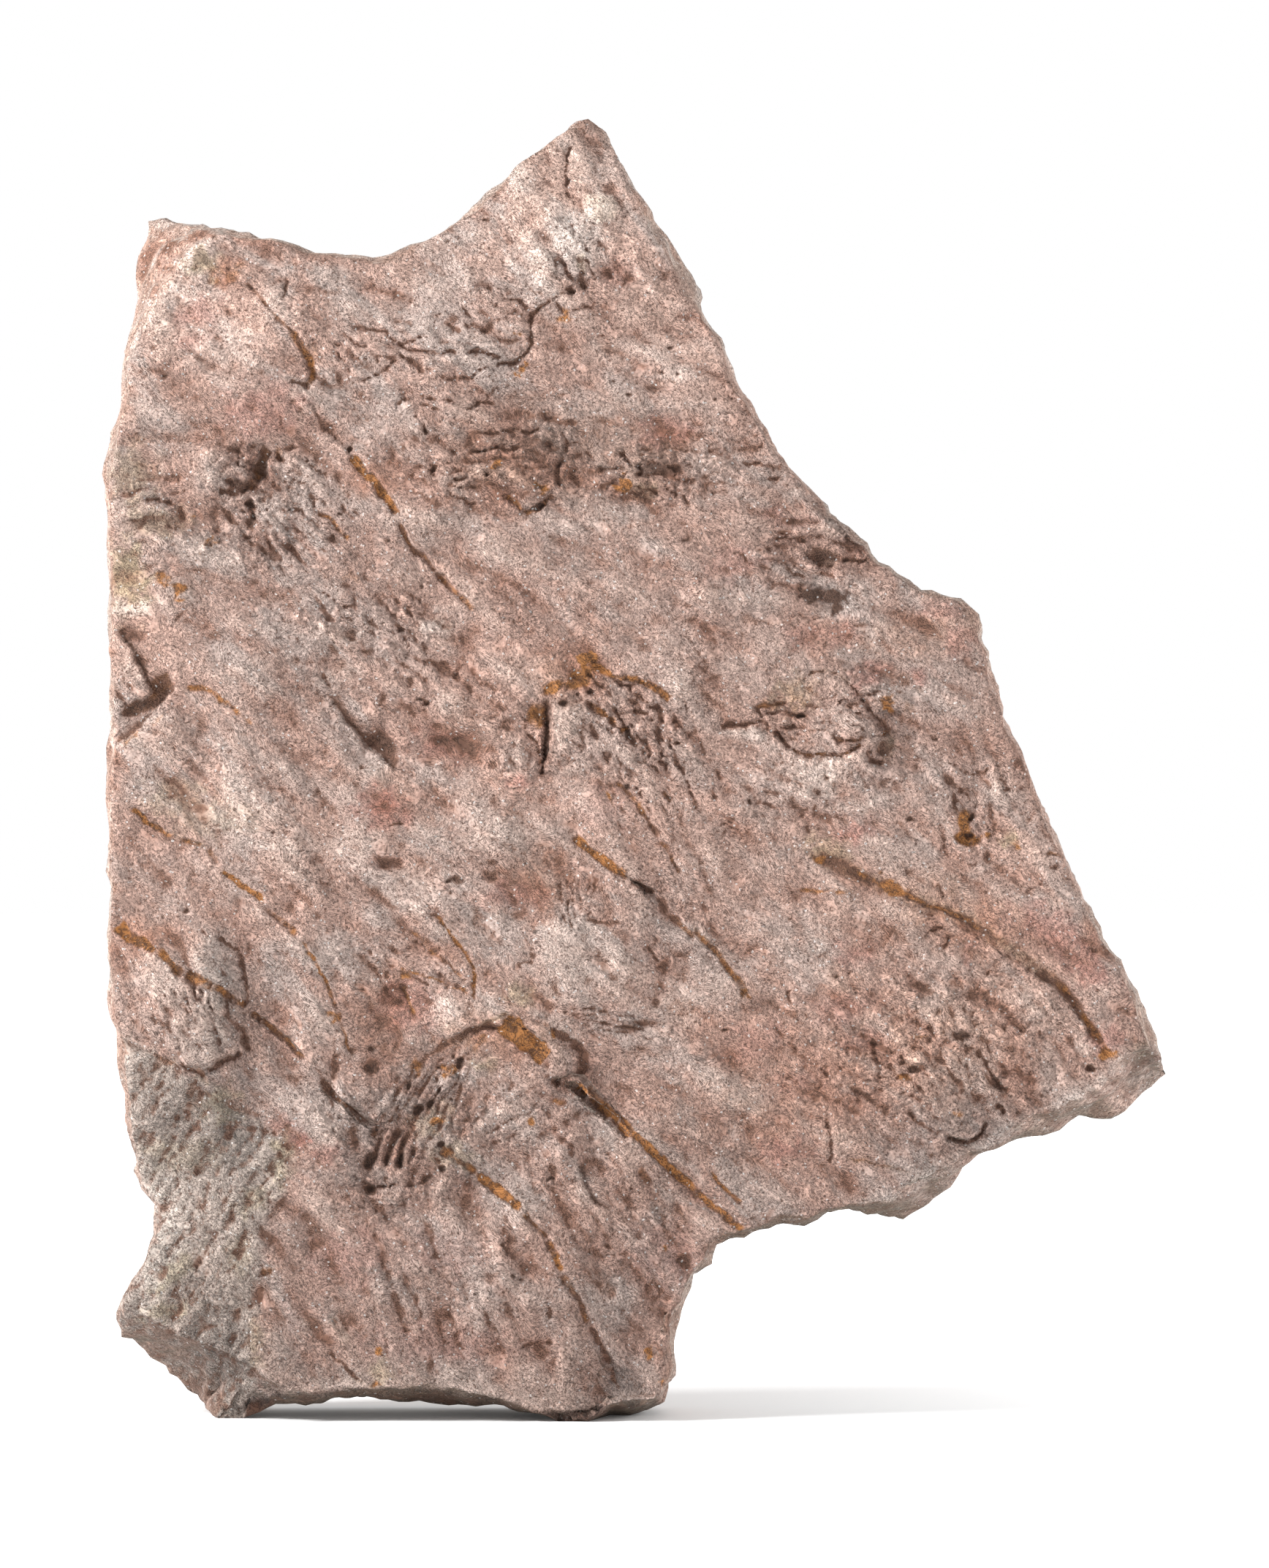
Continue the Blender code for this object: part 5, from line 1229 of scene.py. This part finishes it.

# Wide patches: middle, half size, painted light and shade with some of the stone's own lightness (lighter above 0),
# and warmth (redder above 0). Many paint broad light and shade, such as the shadows beneath the lobe, the flap and
# the arm fan

washes = {
    "upperPale": ((800, 330), (330, 170), 0.08, -0.1),
    "rightLowWarm": ((1300, 1450), (120, 90), 0.06, 0.25),
    "topLeftPale": ((330, 440), (85, 60), 0.32, 0),
    "topLeftBright": ((350, 460), (25, 32), 0.2, 0),
    "topEdgePale": ((275, 325), (125, 25), 0.2, 0),
    "peakWhite": ((775, 275), (75, 95), 0.3, -0.3),
    "peakRight": ((875, 315), (25, 35), 0.2, 0),
    "upperRightPale": ((940, 450), (60, 100), 0.2, -0.2, {"turn": 30}),
    "saddlePale": ((560, 425), (60, 45), 0.15, 0),
    "saddlePaleLeft": ((515, 485), (85, 35), 0.15, 0),
    "leftEdgePale": ((180, 540), (20, 40), 0.2, 0),
    "leftEdgeLow": ((175, 830), (25, 30), 0.2, 0),
    "ridgePale": ((355, 1115), (120, 50), 0.2, -0.3, {"turn": -45}),
    "leftPaleSmall": ((480, 915), (20, 15), 0.15, 0),
    "rightColumn": ((1430, 1150), (60, 120), 0.1, 0),
    "pinkPale": ((700, 1070), (50, 20), 0.15, 0.1),
    "pinkPaleRight": ((780, 1100), (30, 15), 0.1, 0),
    "ringPale": ((1130, 1020), (70, 60), 0.12, 0),
    "ringBright": ((1150, 1055), (30, 25), 0.2, 0),
    "domePale": ((795, 1330), (55, 40), 0.05, 0),
    "fanRidgePale": ((610, 1385), (30, 35), 0.25, 0),
    "greyLeftPale": ((200, 1700), (50, 100), 0.35, -0.4),
    "greyLowPale": ((350, 1800), (30, 50), 0.15, 0),
    "spikePale": ((930, 1095), (70, 35), 0.12, 0),
    "footPale": ((675, 1725), (25, 75), 0.12, 0),
    "leftLowPale": ((525, 1175), (75, 25), 0.1, 0),
    "topLeftOrange": ((310, 370), (20, 20), -0.2, 0.6),
    "leftCrownDark": ((355, 640), (35, 40), -0.3, 0.2),
    "ochreNearStem": ((510, 655), (30, 25), -0.1, 0.5),
    "redBand": ((775, 620), (175, 70), -0.15, 0.35),
    "redBandDark": ((745, 615), (45, 25), -0.15, 0),
    "redBandLow": ((740, 690), (25, 15), -0.2, 0),
    "redBandRight": ((910, 610), (30, 40), -0.1, 0.2),
    "mainCrackShade": ((760, 440), (70, 60), -0.1, 0.15),
    "oliveLeft": ((195, 700), (35, 60), -0.1, 0),
    "brownLeft": ((265, 715), (35, 25), -0.15, 0.2),
    "greyBrown": ((510, 765), (110, 65), -0.08, -0.1),
    "flapBlack": ((205, 950), (25, 30), -0.2, 0),
    "pocketBlack": ((500, 990), (30, 30), -0.15, 0),
    "redBrownHollow": ((640, 1010), (40, 30), -0.3, 0.4),
    "reddishLow": ((530, 1095), (30, 35), -0.1, 0.4),
    "orangeNet": ((785, 920), (45, 40), -0.15, 0.6),
    "rightEdgeDark": ((1130, 730), (40, 30), -0.08, 0.1),
    "slateBlue": ((1135, 820), (25, 20), -0.15, -0.5),
    "redTan": ((1130, 870), (40, 25), -0.05, 0.3),
    "redTanRight": ((1265, 870), (65, 30), -0.05, 0.35),
    "olivePocket": ((1205, 1000), (25, 40), -0.25, 0),
    "edgeDark": ((1325, 1100), (15, 60), -0.25, 0),
    "spikeLowDark": ((805, 1150), (25, 20), -0.15, 0.3),
    "hollowDark": ((890, 1240), (50, 60), -0.1, 0),
    "pinkDark": ((735, 1205), (45, 45), -0.12, 0.4),
    "stemOlive": ((1175, 1185), (55, 35), -0.1, 0.1),
    "stemOchre": ((1315, 1255), (85, 45), -0.12, 0.4, {"turn": -25}),
    "edgeWarm": ((1490, 1270), (10, 30), 0, 0.3),
    "blueGreyLeft": ((320, 1375), (50, 95), -0.1, -0.5),
    "orangeLeft": ((200, 1280), (40, 20), 0, 0.5),
    "vRedBrown": ((525, 1395), (45, 65), -0.15, 0.4),
    "vTop": ((620, 1305), (20, 15), -0.15, 0.3),
    "orangeBrown": ((680, 1420), (80, 30), -0.15, 0.5),
    "lobeBlack": ((790, 1470), (50, 50), -0.2, 0),
    "oliveBrownLow": ((910, 1590), (90, 90), -0.12, 0.1),
    "fanBlack": ((560, 1560), (80, 60), -0.2, 0.1),
    "blueLow": ((805, 1595), (25, 45), -0.1, -0.4),
    "tealLeft": ((325, 1540), (35, 60), -0.2, -0.15),
    "greyTopDark": ((250, 1520), (70, 70), -0.25, 0),
    "greyLow": ((220, 1800), (110, 110), -0.16, 0.1),
    "greyMiddle": ((320, 1600), (50, 70), -0.15, 0),
    "tealLowLeft": ((290, 1845), (40, 55), -0.15, -0.15),
    "purpleGrey": ((410, 1700), (40, 50), -0.1, -0.1),
    "footDark": ((830, 1790), (70, 140), -0.2, 0),
    "footDarkest": ((855, 1900), (25, 30), -0.3, 0),
    "pinkBrown": ((1100, 1500), (100, 100), -0.03, 0.2),
    "bevelDark": ((1315, 1575), (85, 75), -0.2, -0.2),
    "cornerTeal": ((1565, 1460), (25, 30), -0.35, -0.4),
    "darkRed": ((1155, 1355), (25, 35), -0.15, 0.25),
    "brownDark": ((1320, 1420), (20, 30), -0.2, 0),
    "rightWarm": ((1290, 1330), (230, 190), 0.1, 0.1, {"turn": -25}),
    "lowerWarm": ((1050, 1470), (160, 110), 0, 0.1),
    "footDull": ((520, 1750), (150, 130), -0.12, 0),
    "topLobe": ((750, 330), (110, 90), 0.24, 0),
    "middleCrown": ((690, 640), (85, 45), -0.1, 0.2),
    "topCrown": ((610, 480), (90, 40), -0.08, 0),
}

for style in rows(washes, "at size tone warm"):
    wash(**style)
for kind, places in tints.items():
    for spots in places.values():
        for column, row, long, short, *rest in spots:
            tint(kind, (column, row), (long, short), *rest)
print("colour patches:", len(washes), "wide,", sum(len(places) for places in tints.values()), "groups of small ones")


# The slab's skin

def meshPoints(mesh):
    return np.array([vertex.co[:] for vertex in mesh.verts]), np.array([vertex.normal[:] for vertex in mesh.verts])


def easedSlab(node):  # a welded copy of the CAD slab with its plain channels eased away
    mesh = bmesh.new()
    mesh.from_mesh(node.data)
    mesh.transform(node.matrix_world)
    bmesh.ops.remove_doubles(mesh, verts=mesh.verts, dist=0.00002)
    bmesh.ops.recalc_face_normals(mesh, faces=mesh.faces)
    behind = (plate["facePlane"] + plate["eased"]) * mm
    face = [v for v in mesh.verts if all(f.normal.y < -0.5 for f in v.link_faces)
            and all(edge.other_vert(v).co.y < behind for edge in v.link_edges)]
    for _ in range(plate["easing"]):
        bmesh.ops.smooth_vert(mesh, verts=face, factor=0.5, use_axis_x=False, use_axis_y=True, use_axis_z=False)
    return mesh


def cellsOfPlate(mesh):  # the cells of the maps that lie on the fossil face
    inside = np.zeros(gridX.shape, bool)
    for face in mesh.faces:
        if face.normal.y < -0.5:
            corners = np.array([(v.co.x, v.co.z) for v in face.verts]) / mm
            window = windowAround(corners, plate["cell"])
            x = gridX[window]
            z = gridZ[window]
            turns = [(b[0] - a[0]) * (z - a[1]) - (b[1] - a[1]) * (x - a[0])
                     for a, b in zip(corners, np.roll(corners, -1, 0))]
            inside[window] |= np.all([t >= 0 for t in turns], 0) | np.all([t <= 0 for t in turns], 0)
    return inside


def edgeLengths(plateCells):  # how long the skin's edges may be on the face: short where relief and stains are sharp
    sharp = np.abs(height - softened(height, 0.8)) / 0.2
    for name in ("dark", "rust"):
        sharp = sharp + np.abs(stainsAndShade[name] - softened(stainsAndShade[name], 0.8)) / 0.4
    sharp = softened(np.minimum(sharp, 1.5), 0.7) + 0.1
    shortest, longest = plate["edges"]
    low, high = 0.02, 5.0
    for _ in range(20):
        middle = 0.5 * (low + high)
        lengths = np.clip(middle / sharp, shortest, longest)
        triangles = (plate["cell"] ** 2 / lengths[plateCells] ** 2).sum() * plate["perLength"]
        low, high = (middle, high) if triangles > plate["faceTriangles"] else (low, middle)
    return lengths


def refined(mesh):  # splits edges until each is as short as its place wants
    lengths = edgeLengths(cellsOfPlate(mesh))
    for _ in range(plate["passes"]):
        mesh.normal_update()
        points, normals = meshPoints(mesh)
        mesh.verts.index_update()
        mesh.edges.ensure_lookup_table()
        ends = np.array([(edge.verts[0].index, edge.verts[1].index) for edge in mesh.edges])
        middles = 0.5 * (points[ends[:, 0]] + points[ends[:, 1]]) / mm
        facing = 0.5 * (normals[ends[:, 0], 1] + normals[ends[:, 1], 1])
        wanted = np.where(facing < -0.5, atPoints(lengths, middles[:, 0], middles[:, 2]), plate["sideEdge"])
        wanted = np.where(facing > 0.6, plate["backEdge"], wanted)
        long = np.linalg.norm(points[ends[:, 0]] - points[ends[:, 1]], axis=1) / mm > wanted
        if not long.any():
            break
        split = [mesh.edges[index] for index in np.flatnonzero(long)]
        bmesh.ops.subdivide_edges(mesh, edges=split, cuts=1, use_single_edge=True)
        corners = [face for face in mesh.faces if len(face.verts) > 3]
        bmesh.ops.triangulate(mesh, faces=corners, quad_method="SHORT_EDGE")
        flat = [edge for edge in mesh.edges if len(edge.link_faces) == 2 and edge.calc_face_angle() < 0.3]
        bmesh.ops.beautify_fill(mesh, faces=mesh.faces, edges=flat, method="ANGLE")
        print("skin faces:", len(mesh.faces))


def cutSkin(mesh):
    mesh.normal_update()
    points, normals = meshPoints(mesh)
    where = points / mm
    x, y, z = where.T
    faceShare = ramp(0.5, 0.85, -normals[:, 1])
    backShare = ramp(0.5, 0.85, normals[:, 1])
    sideShare = 1 - faceShare - backShare
    parts = {
        "back": backShare * layered((x, z), wide("back"), seed + 110, 4),
        "backFine": backShare * layered((x, z), wide("backFine"), seed + 120, 2),
        "side": sideShare * layered((x, y, z), wide("side"), seed + 130, 3, 0.6),
        "sideFine": sideShare * layered((x, y, z), wide("sideFine"), seed + 140, 2),
    }
    push = faceShare * atPoints(height, x, z) + sum(relief[name][0] * part for name, part in parts.items())
    sole = ramp(6.0, 1.0, z) * ramp(0.3, 0.7, -normals[:, 2])
    where = where + normals * (push * (1 - sole))[:, None]
    where[:, 2] = np.maximum(where[:, 2], 0.0)
    for vertex, place in zip(mesh.verts, where * mm):
        vertex.co = place


def makeSlab():
    mesh = easedSlab(frame["nodes"]["fossil_slab"])
    refined(mesh)
    cutSkin(mesh)
    data = bpy.data.meshes.new("crinoidPlate")
    mesh.to_mesh(data)
    mesh.free()
    item = bpy.data.objects.new("crinoidPlate", data)
    bpy.context.scene.collection.objects.link(item)
    data.shade_smooth()
    data.set_sharp_from_angle(angle=math.radians(plate["crispAngle"]))
    print("slab triangles:", len(data.polygons))
    return item


def pointsOf(data):
    flat = np.empty(len(data.vertices) * 3, np.float32)
    data.vertices.foreach_get("co", flat)
    normals = np.empty_like(flat)
    data.vertices.foreach_get("normal", normals)
    return flat.reshape(-1, 3), normals.reshape(-1, 3)


def writeStainsAndShade(item):
    points, normals = pointsOf(item.data)
    x, _, z = (points / mm).T
    share = ramp(0.2, 0.7, -normals[:, 1])
    fields = dict(stainsAndShade)
    del fields["crumble"]
    narrow, fine, broad = plate["blurs"]
    fields["rough"] = np.clip(roughness(), 0, 1)
    # hollow and vale tell low places from high ones; the material paints shade in the low ones and highlight on the
    # high ones
    fields["hollow"] = np.clip(0.5 + 0.5 * (height - softened(height, narrow)), 0, 1)
    fields["vale"] = np.clip(0.5 + 0.3 * (softened(height, fine) - softened(height, broad)), 0, 1)
    for name, field in fields.items():
        layer = item.data.attributes.new(name, "FLOAT", "POINT")
        layer.data.foreach_set("value", (atPoints(field, x, z) * share).astype(np.float32))
    # faces turned down get painted shade
    underShade = ramp(0.6, 0.95, -normals[:, 2])
    for name, amount in (("face", share), ("underShade", underShade)):
        layer = item.data.attributes.new(name, "FLOAT", "POINT")
        layer.data.foreach_set("value", amount.astype(np.float32))


# Materials

class Wire:  # a node's output that takes part in sums
    def __init__(self, tree, socket):
        self.tree = tree
        self.socket = socket

    def math(self, operation, *others):
        values = dict(enumerate((self, *others)))
        return self.tree.node("ShaderNodeMath", {"operation": operation}, values)

    def __add__(self, other):
        return self.math("ADD", other)

    def __sub__(self, other):
        return self.math("SUBTRACT", other)

    def __rsub__(self, other):
        return self.tree.node("ShaderNodeMath", {"operation": "SUBTRACT"}, {0: other, 1: self})

    def __mul__(self, other):
        return self.math("MULTIPLY", other)

    def clamp(self):
        return self.tree.node("ShaderNodeClamp", {}, {0: self})

    def band(self, low, high):  # 0 below low, 1 above high, smooth between
        return self.tree.node("ShaderNodeMapRange", {"interpolation_type": "SMOOTHSTEP"},
                              {0: self, 1: low, 2: high, 3: 0.0, 4: 1.0})

    __radd__ = __add__
    __rmul__ = __mul__


class Tree:
    def __init__(self, material):
        material.use_nodes = True
        self.nodes = material.node_tree.nodes
        self.links = material.node_tree.links
        self.shader = self.nodes["Principled BSDF"]
        self.where = self.node("ShaderNodeTexCoord", {}, {}, "Object")

    def node(self, kind, settings, inputs, output=0):
        made = self.nodes.new(kind)
        for name, value in settings.items():
            setattr(made, name, value)
        for name, value in inputs.items():
            self.feed(made.inputs[name], value)
        return Wire(self, made.outputs[output])

    def feed(self, socket, value):
        if isinstance(value, Wire):
            self.links.new(value.socket, socket)
        elif isinstance(value, tuple) and socket.type == "RGBA":
            socket.default_value = (*value, 1.0)
        else:
            socket.default_value = value

    def placed(self, by, turn=0.0, stretch=1.0):  # coordinates that are moved, turned in the face or drawn out
        return self.node("ShaderNodeMapping", {"vector_type": "TEXTURE"}, {
            "Vector": self.where, "Location": (by, 0.7 * by, 1.3 * by), "Rotation": (0.0, -math.radians(turn), 0.0),
            "Scale": (stretch, 1.0, 1.0)})

    def noise(self, size, detail=3.0, rough=0.55, twist=0.0, where=None):
        return self.node("ShaderNodeTexNoise", {}, {
            "Vector": where or self.where, "Scale": 1000.0 / size, "Detail": detail, "Roughness": rough,
            "Distortion": twist})

    def grains(self, size, output="Distance"):
        return self.node("ShaderNodeTexVoronoi", {}, {"Vector": self.where, "Scale": 1000.0 / size}, output)

    def mask(self, name):
        return self.node("ShaderNodeAttribute", {"attribute_name": name}, {}, "Fac")

    def mix(self, amount, first, second, blend="MIX"):
        return self.node("ShaderNodeMix", {"data_type": "RGBA", "blend_type": blend},
                         {0: amount, 6: first, 7: second}, 2)

    def shaded(self, colour, light):  # a colour made lighter or darker by a value
        return self.node("ShaderNodeVectorMath", {"operation": "SCALE"}, {0: colour, "Scale": light})


stone = {
    "pink": (0.43, 0.274, 0.222),
    "brown": (0.36, 0.225, 0.18),
    "grey": (0.39, 0.298, 0.262),
    "pale": (0.64, 0.52, 0.46),
    # painted shade in the vales, then painted highlight on the rises
    "valeShade": (0.27, 0.145, 0.11),
    "ridge": (0.51, 0.39, 0.335),
    "rust": (0.37, 0.155, 0.048),
    "deepRust": (0.15, 0.065, 0.028),
    "blush": (0.36, 0.18, 0.145),
    # painted shade in grooves, cracks, pits and creases, and blackish stone
    "dark": (0.085, 0.043, 0.028),
    # painted shade in creases and pits
    "creviceShade": (0.15, 0.075, 0.05),
    "coarseGrey": (0.415, 0.335, 0.29),
    "olive": (0.34, 0.27, 0.165),
    "fresh": (0.52, 0.40, 0.335),        # broken side faces and the back
    "freshGrey": (0.44, 0.365, 0.325),
    "freshRed": (0.45, 0.30, 0.245),
    # painted shade on faces turned down
    "undersideShade": (0.13, 0.10, 0.07),
    "reddening": (1.0, 0.76, 0.62),     # what warm and cool patches multiply the stone by
    "cooling": (0.86, 0.97, 1.0),
    # pale flakes of the stone, painted brighter as glints
    "micaAndGlint": (0.85, 0.82, 0.80),
    "roughness": 0.93,
    "grain": -42.0,                     # the way that the fine streaks run on the face, in degrees
}

# Sizes of the stone's patterns in millimetres, coarse to fine
pattern = {
    "broad": 46.0,
    "blotch": 13.0,
    "ledges": 7.0,
    "flaky": 6.0,
    "soft": 5.0,
    "mottle": 4.2,
    "sand": 0.9,
    "grit": 0.8,
    "micaAndGlint": 0.6,
}

# How strongly the patterns and the maps show
strength = {
    "brown": 0.5,
    # painted shade in the vales and painted highlight on the rises
    "valeShade": 0.35,
    "ridge": 0.5,
    "freshGrey": 0.7,
    "freshRed": 0.8,
    # painted shade on faces turned down
    "undersideShade": 0.9,
    "clouds": 0.5,              # light and dark from the broad, blotchy and mottled patterns
    "grit": 0.4,
    # painted highlight on the high grains
    "sand": 1.5,
    "crestHighlight": 0.25,
    # painted light and shade, with some of the stone's own lightness
    "tone": 1.2,
    "warm": 1.3,
    # painted warm shade in hollows and vales, as of light bounced between grains
    "hollowWarmShade": 0.7,
    "valeWarmShade": 0.25,
    # painted shade in creases, thin painted shadow lines and painted shadows in sand pits
    "creaseShade": 0.85,
    "ledgeShadowLines": 0.2,
    "sandPitShadows": 0.75,
    # pale flakes with painted glints
    "micaAndGlint": 0.5,
    "plateBump": 1.1,
    "softBump": 2.0,
}


def sandstone():
    material = bpy.data.materials.new("pinkSandstone")
    tree = Tree(material)
    much = strength
    grain = stone["grain"]
    streaked = tree.placed(0.017, grain, 2.2)
    broad = tree.noise(pattern["broad"], 3.0, 0.55, 0.3, streaked)
    blotch = tree.noise(pattern["blotch"], 4.0, 0.6, 0.5, streaked)
    mottle = tree.noise(pattern["mottle"], 3.0, 0.6, 0.5, tree.placed(0.031))
    ledges = (tree.noise(pattern["ledges"], 3.0, 0.6, 0.6, tree.placed(0.071, grain, 1.8)) * 9.0).math("FRACT")
    sand = tree.noise(pattern["sand"], 1.0, 0.7)
    flaky = tree.noise(pattern["flaky"], 6.0, 0.68, 0.5, tree.placed(0.043, grain, 1.5))
    soft = tree.noise(pattern["soft"], 1.5, 0.6, 0.0, tree.placed(0.051, grain, 1.5))
    plates = flaky.band(0.38, 0.41)
    for level in (0.44, 0.50, 0.56):
        plates = plates + flaky.band(level, level + 0.03)
    gritShade = tree.node("ShaderNodeSeparateColor", {}, {0: tree.grains(pattern["grit"], "Color")}, 1)
    face = tree.mask("face")
    vale = tree.mask("vale")
    # vales are painted brown as shade, rises paler as highlight
    low = 1 - vale.band(0.05, 0.5)
    colour = tree.mix(blotch.band(0.40, 0.62), stone["pink"], stone["grey"])
    colour = tree.mix(broad.band(0.45, 0.62) * much["brown"], colour, stone["brown"])
    colour = tree.mix(low * much["valeShade"], colour, stone["valeShade"])
    colour = tree.mix(vale.band(0.5, 0.95) * much["ridge"], colour, stone["ridge"])
    broken = tree.mix(blotch.band(0.42, 0.58) * much["freshGrey"], stone["fresh"], stone["freshGrey"])
    broken = tree.mix(broad.band(0.46, 0.6) * much["freshRed"], broken, stone["freshRed"])
    colour = tree.mix(1 - face, colour, broken)
    # faces turned down are painted near black-brown: painted shade
    colour = tree.mix(tree.mask("underShade") * much["undersideShade"], colour, stone["undersideShade"])
    colour = tree.mix(tree.mask("grey"), colour, stone["coarseGrey"])
    colour = tree.mix((tree.mask("blush") * (0.5 + 0.9 * mottle)).clamp(), colour, stone["blush"])
    colour = tree.mix(tree.mask("olive") * (0.35 + 0.7 * mottle), colour, stone["olive"])
    colour = tree.mix(tree.mask("pale") * (0.5 + 0.5 * mottle), colour, stone["pale"])
    light = 1.0
    for clouds in (broad, blotch, mottle):
        light = light + much["clouds"] * (clouds - 0.5)
    light = light + much["grit"] * (gritShade - 0.5) + much["sand"] * (sand - 0.5)
    hollow = tree.mask("hollow")
    # brighter on the high grains: painted highlight; then painted light and shade from the wide patches
    light = light * (1.0 + much["crestHighlight"] * hollow.band(0.52, 0.85)) * (1.0 + much["tone"] * tree.mask("tone"))
    # hollows and vales are reddened as well: painted warm shade
    warm = tree.mask("warm") * much["warm"] + (1 - hollow.band(0.1, 0.5)) * much["hollowWarmShade"] * face
    warm = warm + low * much["valeWarmShade"] * face
    colour = tree.mix(warm.clamp(), colour, stone["reddening"], "MULTIPLY")
    colour = tree.mix((0.0 - warm).clamp(), colour, stone["cooling"], "MULTIPLY")
    colour = tree.shaded(colour, light)
    # painted shade in creases, thin painted shadow lines of small ledges, and painted shadows in sand pits
    creases = (1 - hollow.band(0.15, 0.48)) * much["creaseShade"] * face
    creases = creases + (1 - ledges.band(0.0, 0.12)) * much["ledgeShadowLines"]
    creases = creases + (1 - sand.band(0.28, 0.40)) * much["sandPitShadows"]
    colour = tree.mix(creases.clamp(), colour, stone["creviceShade"])
    rust = (tree.mask("rust") * (0.55 + 0.9 * mottle)).band(0.12, 0.75)
    lining = tree.mix((0.5 * mottle + 0.5 * sand).band(0.41, 0.54), stone["deepRust"], stone["rust"])
    colour = tree.mix(rust, colour, tree.shaded(lining, 0.6 + 0.8 * mottle))
    # painted shade in grooves, cracks, pits, creases and beneath ledges, and blackish stone patches
    colour = tree.mix((tree.mask("dark") * (0.4 + 1.0 * sand)).band(0.12, 0.6), colour, stone["dark"])
    # pale flakes in the stone, painted as glints
    speck = tree.node("ShaderNodeSeparateColor", {}, {0: tree.grains(pattern["micaAndGlint"], "Color")}, 0)
    colour = tree.mix(speck.band(0.985, 0.995) * much["micaAndGlint"], colour, stone["micaAndGlint"])
    tree.feed(tree.shader.inputs["Base Color"], colour)
    tree.shader.inputs["Roughness"].default_value = stone["roughness"]
    bump = tree.node("ShaderNodeBump", {}, {
        "Strength": 1.0, "Distance": mm,
        "Height": (much["plateBump"] * plates + much["softBump"] * soft) * (0.75 + 0.9 * tree.mask("rough"))})
    tree.feed(tree.shader.inputs["Normal"], bump)
    return material


slab = makeSlab()
writeStainsAndShade(slab)
slab.data.materials.clear()
slab.data.materials.append(sandstone())
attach(slab, "root")
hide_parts("fossil_slab")


# Room, light and camera

studio = {
    "floorRadius": 7.0,
    "floorColour": (0.93, 0.935, 0.94),
    "floorGlow": (0.0, 0.5, 0.65),      # how far off the floor starts to brighten, how far off it stops, by how much
    "glowMiddle": (-0.07, 0.0, 0.0),
    "ambient": 0.66,
    "backdrop": 1.0,
    "keyPlace": (-1.33, -0.42, 1.06),
    "keySize": 0.4,
    "keyPower": 40.0,
    "fillPlace": (1.2, 0.35, 0.5),      # behind the face, so that it lights only the right side faces
    "fillSize": 0.5,
    "fillPower": 9.0,
    "cameraDistance": 1.8,      # from the fossil face
    "sensor": 36.0,
    "farthest": 50.0,
    "lampsAim": (0.0, 0.0, 0.2),
    "floorRoughness": 0.8,
}


def makeFloor():
    half = studio["floorRadius"]
    data = bpy.data.meshes.new("floor")
    data.from_pydata([(-half, -half, 0), (half, -half, 0), (half, half, 0), (-half, half, 0)], [], [(0, 1, 2, 3)])
    item = bpy.data.objects.new("floor", data)
    bpy.context.scene.collection.objects.link(item)
    material = bpy.data.materials.new("paleFloor")
    tree = Tree(material)
    tree.shader.inputs["Base Color"].default_value = (*studio["floorColour"], 1.0)
    tree.shader.inputs["Roughness"].default_value = studio["floorRoughness"]
    start, stop, glow = studio["floorGlow"]
    ends = {0: tree.where, 1: studio["glowMiddle"]}
    away = tree.node("ShaderNodeVectorMath", {"operation": "DISTANCE"}, ends, "Value")
    level = away.band(start, stop)
    tree.feed(tree.shader.inputs["Emission Color"], tree.mix(level, (0.0, 0.0, 0.0), (glow, glow, glow)))
    tree.shader.inputs["Emission Strength"].default_value = 1.0
    data.materials.append(material)


def makeSky():
    world = bpy.data.worlds.new("studio")
    world.use_nodes = True
    nodes = world.node_tree.nodes
    links = world.node_tree.links
    light = nodes["Background"]
    light.inputs["Strength"].default_value = studio["ambient"]
    light.inputs["Color"].default_value = (1.0, 1.0, 1.0, 1.0)
    wall = nodes.new("ShaderNodeBackground")
    wall.inputs["Color"].default_value = (1.0, 1.0, 1.0, 1.0)
    wall.inputs["Strength"].default_value = studio["backdrop"]
    seen = nodes.new("ShaderNodeLightPath")
    blend = nodes.new("ShaderNodeMixShader")
    links.new(seen.outputs["Is Camera Ray"], blend.inputs[0])
    links.new(light.outputs[0], blend.inputs[1])
    links.new(wall.outputs[0], blend.inputs[2])
    links.new(blend.outputs[0], nodes["World Output"].inputs["Surface"])
    bpy.context.scene.world = world


def makeLamp(name):
    place = studio[name + "Place"]
    data = bpy.data.lights.new(name, "AREA")
    data.shape = "SQUARE"
    data.size = studio[name + "Size"]
    data.energy = studio[name + "Power"]
    item = bpy.data.objects.new(name, data)
    item.location = place
    item.rotation_euler = (Vector(studio["lampsAim"]) - Vector(place)).to_track_quat("-Z", "Y").to_euler()
    bpy.context.scene.collection.objects.link(item)


def makeCamera():
    data = bpy.data.cameras.new("camera")
    item = bpy.data.objects.new("camera", data)
    x, z = onFace(picture["columns"] / 2, picture["rows"] / 2)
    item.location = (x * mm, plate["facePlane"] * mm - studio["cameraDistance"], z * mm)
    item.rotation_euler = (math.pi / 2, 0, 0)
    tall = picture["rows"] * picture["mmPerPixel"] * mm
    data.sensor_width = studio["sensor"]
    data.lens = data.sensor_width * studio["cameraDistance"] / tall
    data.clip_end = studio["farthest"]
    bpy.context.scene.collection.objects.link(item)
    bpy.context.scene.camera = item


makeFloor()
makeSky()
makeLamp("key")
makeLamp("fill")
makeCamera()
bpy.context.scene.view_settings.view_transform = "Standard"
print("studio ready")
